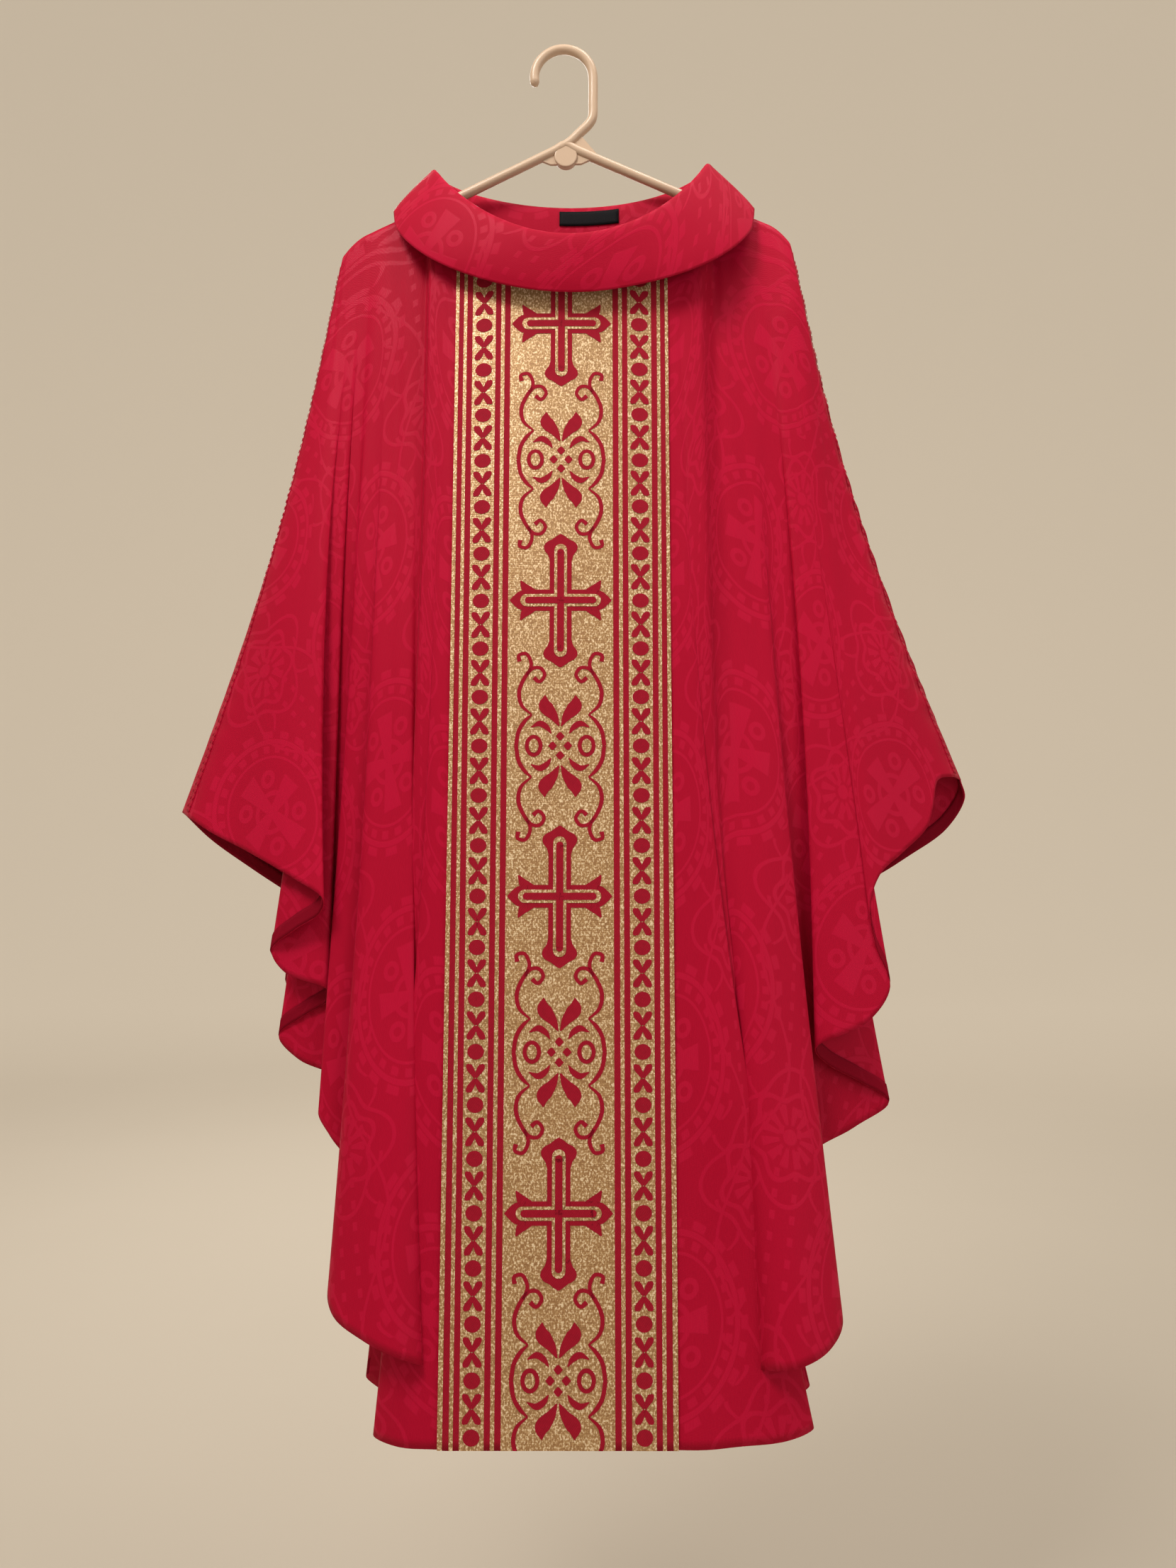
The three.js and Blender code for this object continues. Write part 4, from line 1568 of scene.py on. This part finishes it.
class Chasuble(Garment):
    """The garment: its panels, seams, hems, facings, orphreys and collar."""

    def __init__(self, looks: Looks) -> None:
        """Makes the garment.

        Args:
            looks: The materials.
        """
        self.looks = looks
        front = Panel(Face.FRONT, FRONT_LEFT, FRONT_RIGHT)
        mirrored = [r.mirrored() for r in BACK_SIDE[3:]]
        back = Panel(Face.BACK, BACK_SIDE, BACK_RIGHT_CUFF + mirrored)
        self.collar = Collar(COLLAR, looks)
        cloths = [self.panel(front), self.panel(back)]
        trims = [[self.hem(p), self.facing(p)] for p in (front, back)]
        bands = [Orphrey(p, looks) for p in (front, back)]
        seams = [self.seam(front, side) for side in Side]
        for cloth, trim, band, area in zip(cloths, trims, bands, (0.95, 0.86)):
            going = [*trim, band.band, band.figures]
            going += seams if cloth is cloths[0] else []

    def panel(self, panel: Panel) -> bpy.types.Object:
        """The damask of the front or back.

        Args:
            panel: The draped panel.

        Returns:
            The piece.
        """
        word = panel.face.name.lower()
        shell = Shell(f"{word}_cloth", self.looks.damask)
        shell.grid(panel.surface.points, panel.surface.cloth)
        return self.declare(shell.done(CLOTH.damask), f"{word}_panel", "damask")

    def hem(self, panel: Panel) -> bpy.types.Object:
        """The turned hem inside the panel's lower edge.

        Args:
            panel: The panel.

        Returns:
            The piece.
        """
        word = panel.face.name.lower()
        points, normals = panel.surface.points, panel.surface.normals
        grid = []
        for column, normal in zip(points[2:-2], normals[2:-2]):
            reach = np.concatenate([[0], np.cumsum(np.linalg.norm(np.diff(column[::-1], axis=0), axis=1))])
            inside = (column - normal * (CLOTH.damask + 0.15))[::-1]
            turn = np.linspace(0.4, HEM_TURN, 5)
            grid.append(np.stack([np.interp(turn, reach, inside[:, a]) for a in range(3)], axis=-1))
        shell = Shell(f"{word}_hem_fold", self.looks.reverse)
        surface = Surface(np.array(grid))
        shell.grid(surface.points, surface.cloth)
        return self.declare(shell.done(0.7), f"{word}_hem_turning", "damask_reverse")

    def facing(self, panel: Panel) -> bpy.types.Object:
        """The facing inside the neckline.

        Args:
            panel: The panel.

        Returns:
            The piece.
        """
        word = panel.face.name.lower()
        part, cloth = panel.patch(slice(panel.first - 20, panel.last + 21), slice(0, 6))
        shell = Shell(f"{word}_neck_strip", self.looks.reverse)
        shell.grid(part.lifted(-1.1), cloth)
        return self.declare(shell.done(0.5), f"{word}_neck_facing", "damask_reverse")

    def seam(self, front: Panel, side: Side) -> bpy.types.Object:
        """The felled shoulder seam, a little in front of the fold, with its two rows of stitches.

        Args:
            front: The front panel.
            side: Which shoulder.

        Returns:
            The piece.
        """
        word = side.name.lower()
        s = front.surface
        total = s.points.shape[0] - 1
        rows = np.linspace(5, front.ROWS - 2, 210)
        shell = Shell(f"{word}_felled_seam", self.looks.damask, self.looks.thread)
        place = 5.2 if side is Side.RIGHT else total - 5.2

        def strip(offsets: np.ndarray, lift: float, chosen: np.ndarray, material: int) -> None:
            points = np.array([s.at(place + np.full(chosen.shape, o), chosen, lift) for o in offsets])
            shell.grid(points, Surface(points).cloth if material == 0 else None, material)

        strip(np.linspace(-1.2, 1.2, 5), 0.75, rows, 0)
        steps = np.linspace(8, front.ROWS - 3, 170)
        for edge in (-0.95, 0.95):
            for a, b in zip(steps[::2], steps[1::2]):
                strip(np.array([edge - 0.07, edge + 0.07]), 1.45, np.array([a, b]), 1)
        return self.declare(shell.done(0.45), f"{word}_shoulder_seam", "damask")


# ---- The stage -----------------------------------------------------------------------------------


@dataclass(frozen=True)
class Lamp:
    """A soft square lamp that looks at the chasuble. Its place and side are metres, its power watts."""

    name: str
    place: tuple[float, float, float]
    side: float
    power: float
    colour: tuple[float, float, float]


LAMPS = (
    Lamp("key", (-0.9, -1.35, 1.45), 0.8, 46, (1.0, 0.96, 0.9)),
    Lamp("fill", (1.9, -2.0, -0.2), 1.8, 12, (0.97, 0.97, 1.0)),
    Lamp("top", (0.6, -0.45, 1.5), 0.8, 18, (1.0, 0.96, 0.9)),
    Lamp("rear", (-0.7, 2.3, 0.9), 1.6, 42, (1.0, 0.97, 0.93)),
)
LAMPS_LOOK_AT = Vector((0, 0, -0.6))
FLOOR_Z = -1.62
CAMERA_PLACE = (0.023, -1.076, -0.731)
CAMERA_TILT = 3.0
SENSOR, LENS = 24.0, 18.45


class Stage:
    """The pale floor and backdrop with their painted glow, the soft lights and the camera."""

    def __init__(self) -> None:
        """Sets the stage."""
        self.floor()
        self.world()
        for lamp in LAMPS:
            self.light(lamp)
        self.camera()

    def floor(self) -> None:
        """A wide pale floor that sweeps up into a backdrop, far behind the chasuble. It glows with painted
        light, dim near the chasuble and brighter towards the back wall.
        """
        bm = bmesh.new()
        reach, wall, sweep, bend = 18.0, 9.0, 2.0, 3.5
        turns = np.linspace(0.1, math.pi / 2, 12)
        curve = [(bend + sweep * math.sin(a), sweep - sweep * math.cos(a)) for a in turns]
        profile = [(-reach, 0), (bend, 0), *curve, (bend + sweep, wall)]
        line = [bm.verts.new((-reach, y, z)) for y, z in profile]
        edges = [bm.edges.new(pair) for pair in zip(line, line[1:])]
        made = bmesh.ops.extrude_edge_only(bm, edges=edges)["geom"]
        moved = [g for g in made if isinstance(g, bmesh.types.BMVert)]
        bmesh.ops.translate(bm, verts=moved, vec=(2 * reach, 0, 0))
        for f in bm.faces:
            f.smooth = True
        mesh = bpy.data.meshes.new("floor")
        bm.to_mesh(mesh)
        bm.free()
        look = Shader(Finish("Floor", (0.44, 0.4, 0.34), 0.85))
        place = look.place()
        mottle = look.noise(place, 3.0, 2)
        look.drive("Base Color", look.colours(mottle * 0.3, (0.45, 0.4, 0.335), (0.41, 0.365, 0.3)))
        along = look.apart(place, "Y")
        # Painted light: the floor and backdrop glow in the emission colour, dimmest near the chasuble and
        # brightest at the back wall, in place of the light that falls on them.
        depth = ((along + 0.7) * 0.2).most((along + 1.0) * -0.12).least(1.0).most(0.15)
        look.drive("Emission Color", look.colours(depth, (0.0, 0.0, 0.0), (0.36, 0.31, 0.245)))
        look.shader.inputs["Emission Strength"].default_value = 1.0
        mesh.materials.append(look.material)
        floor = bpy.data.objects.new("floor", mesh)
        floor.location.z = FLOOR_Z
        bpy.context.collection.objects.link(floor)

    def world(self) -> None:
        """Warm pale surroundings."""
        world = bpy.data.worlds.new("Room")
        bpy.context.scene.world = world
        world.use_nodes = True
        background = world.node_tree.nodes["Background"]
        background.inputs["Color"].default_value = (0.83, 0.74, 0.6, 1)
        background.inputs["Strength"].default_value = 0.5

    def light(self, lamp: Lamp) -> None:
        """Hangs a lamp.

        Args:
            lamp: The lamp.
        """
        data = bpy.data.lights.new(lamp.name, "AREA")
        data.size = lamp.side
        data.energy = lamp.power
        data.color = lamp.colour
        hung = bpy.data.objects.new(lamp.name, data)
        hung.location = lamp.place
        hung.rotation_euler = (LAMPS_LOOK_AT - Vector(lamp.place)).to_track_quat("-Z", "Y").to_euler()
        bpy.context.collection.objects.link(hung)

    def camera(self) -> None:
        """A wide lens close in front, a little below the middle and tilted up."""
        data = bpy.data.cameras.new("camera")
        data.sensor_fit = "VERTICAL"
        data.sensor_height = SENSOR
        data.lens = LENS
        data.dof.use_dof = False
        camera = bpy.data.objects.new("camera", data)
        camera.location = CAMERA_PLACE
        camera.rotation_euler = (math.radians(90 + CAMERA_TILT), 0, 0)
        bpy.context.collection.objects.link(camera)
        bpy.context.scene.camera = camera
        bpy.context.scene.view_settings.view_transform = "Standard"


def main() -> None:
    """Builds the object and its stage."""
    logging.basicConfig(level=logging.INFO, format="%(name)s: %(message)s")
    looks = Looks()
    Hanger(HANGER, looks)
    Chasuble(looks)
    Stage()


if __name__ == "__main__":
    main()
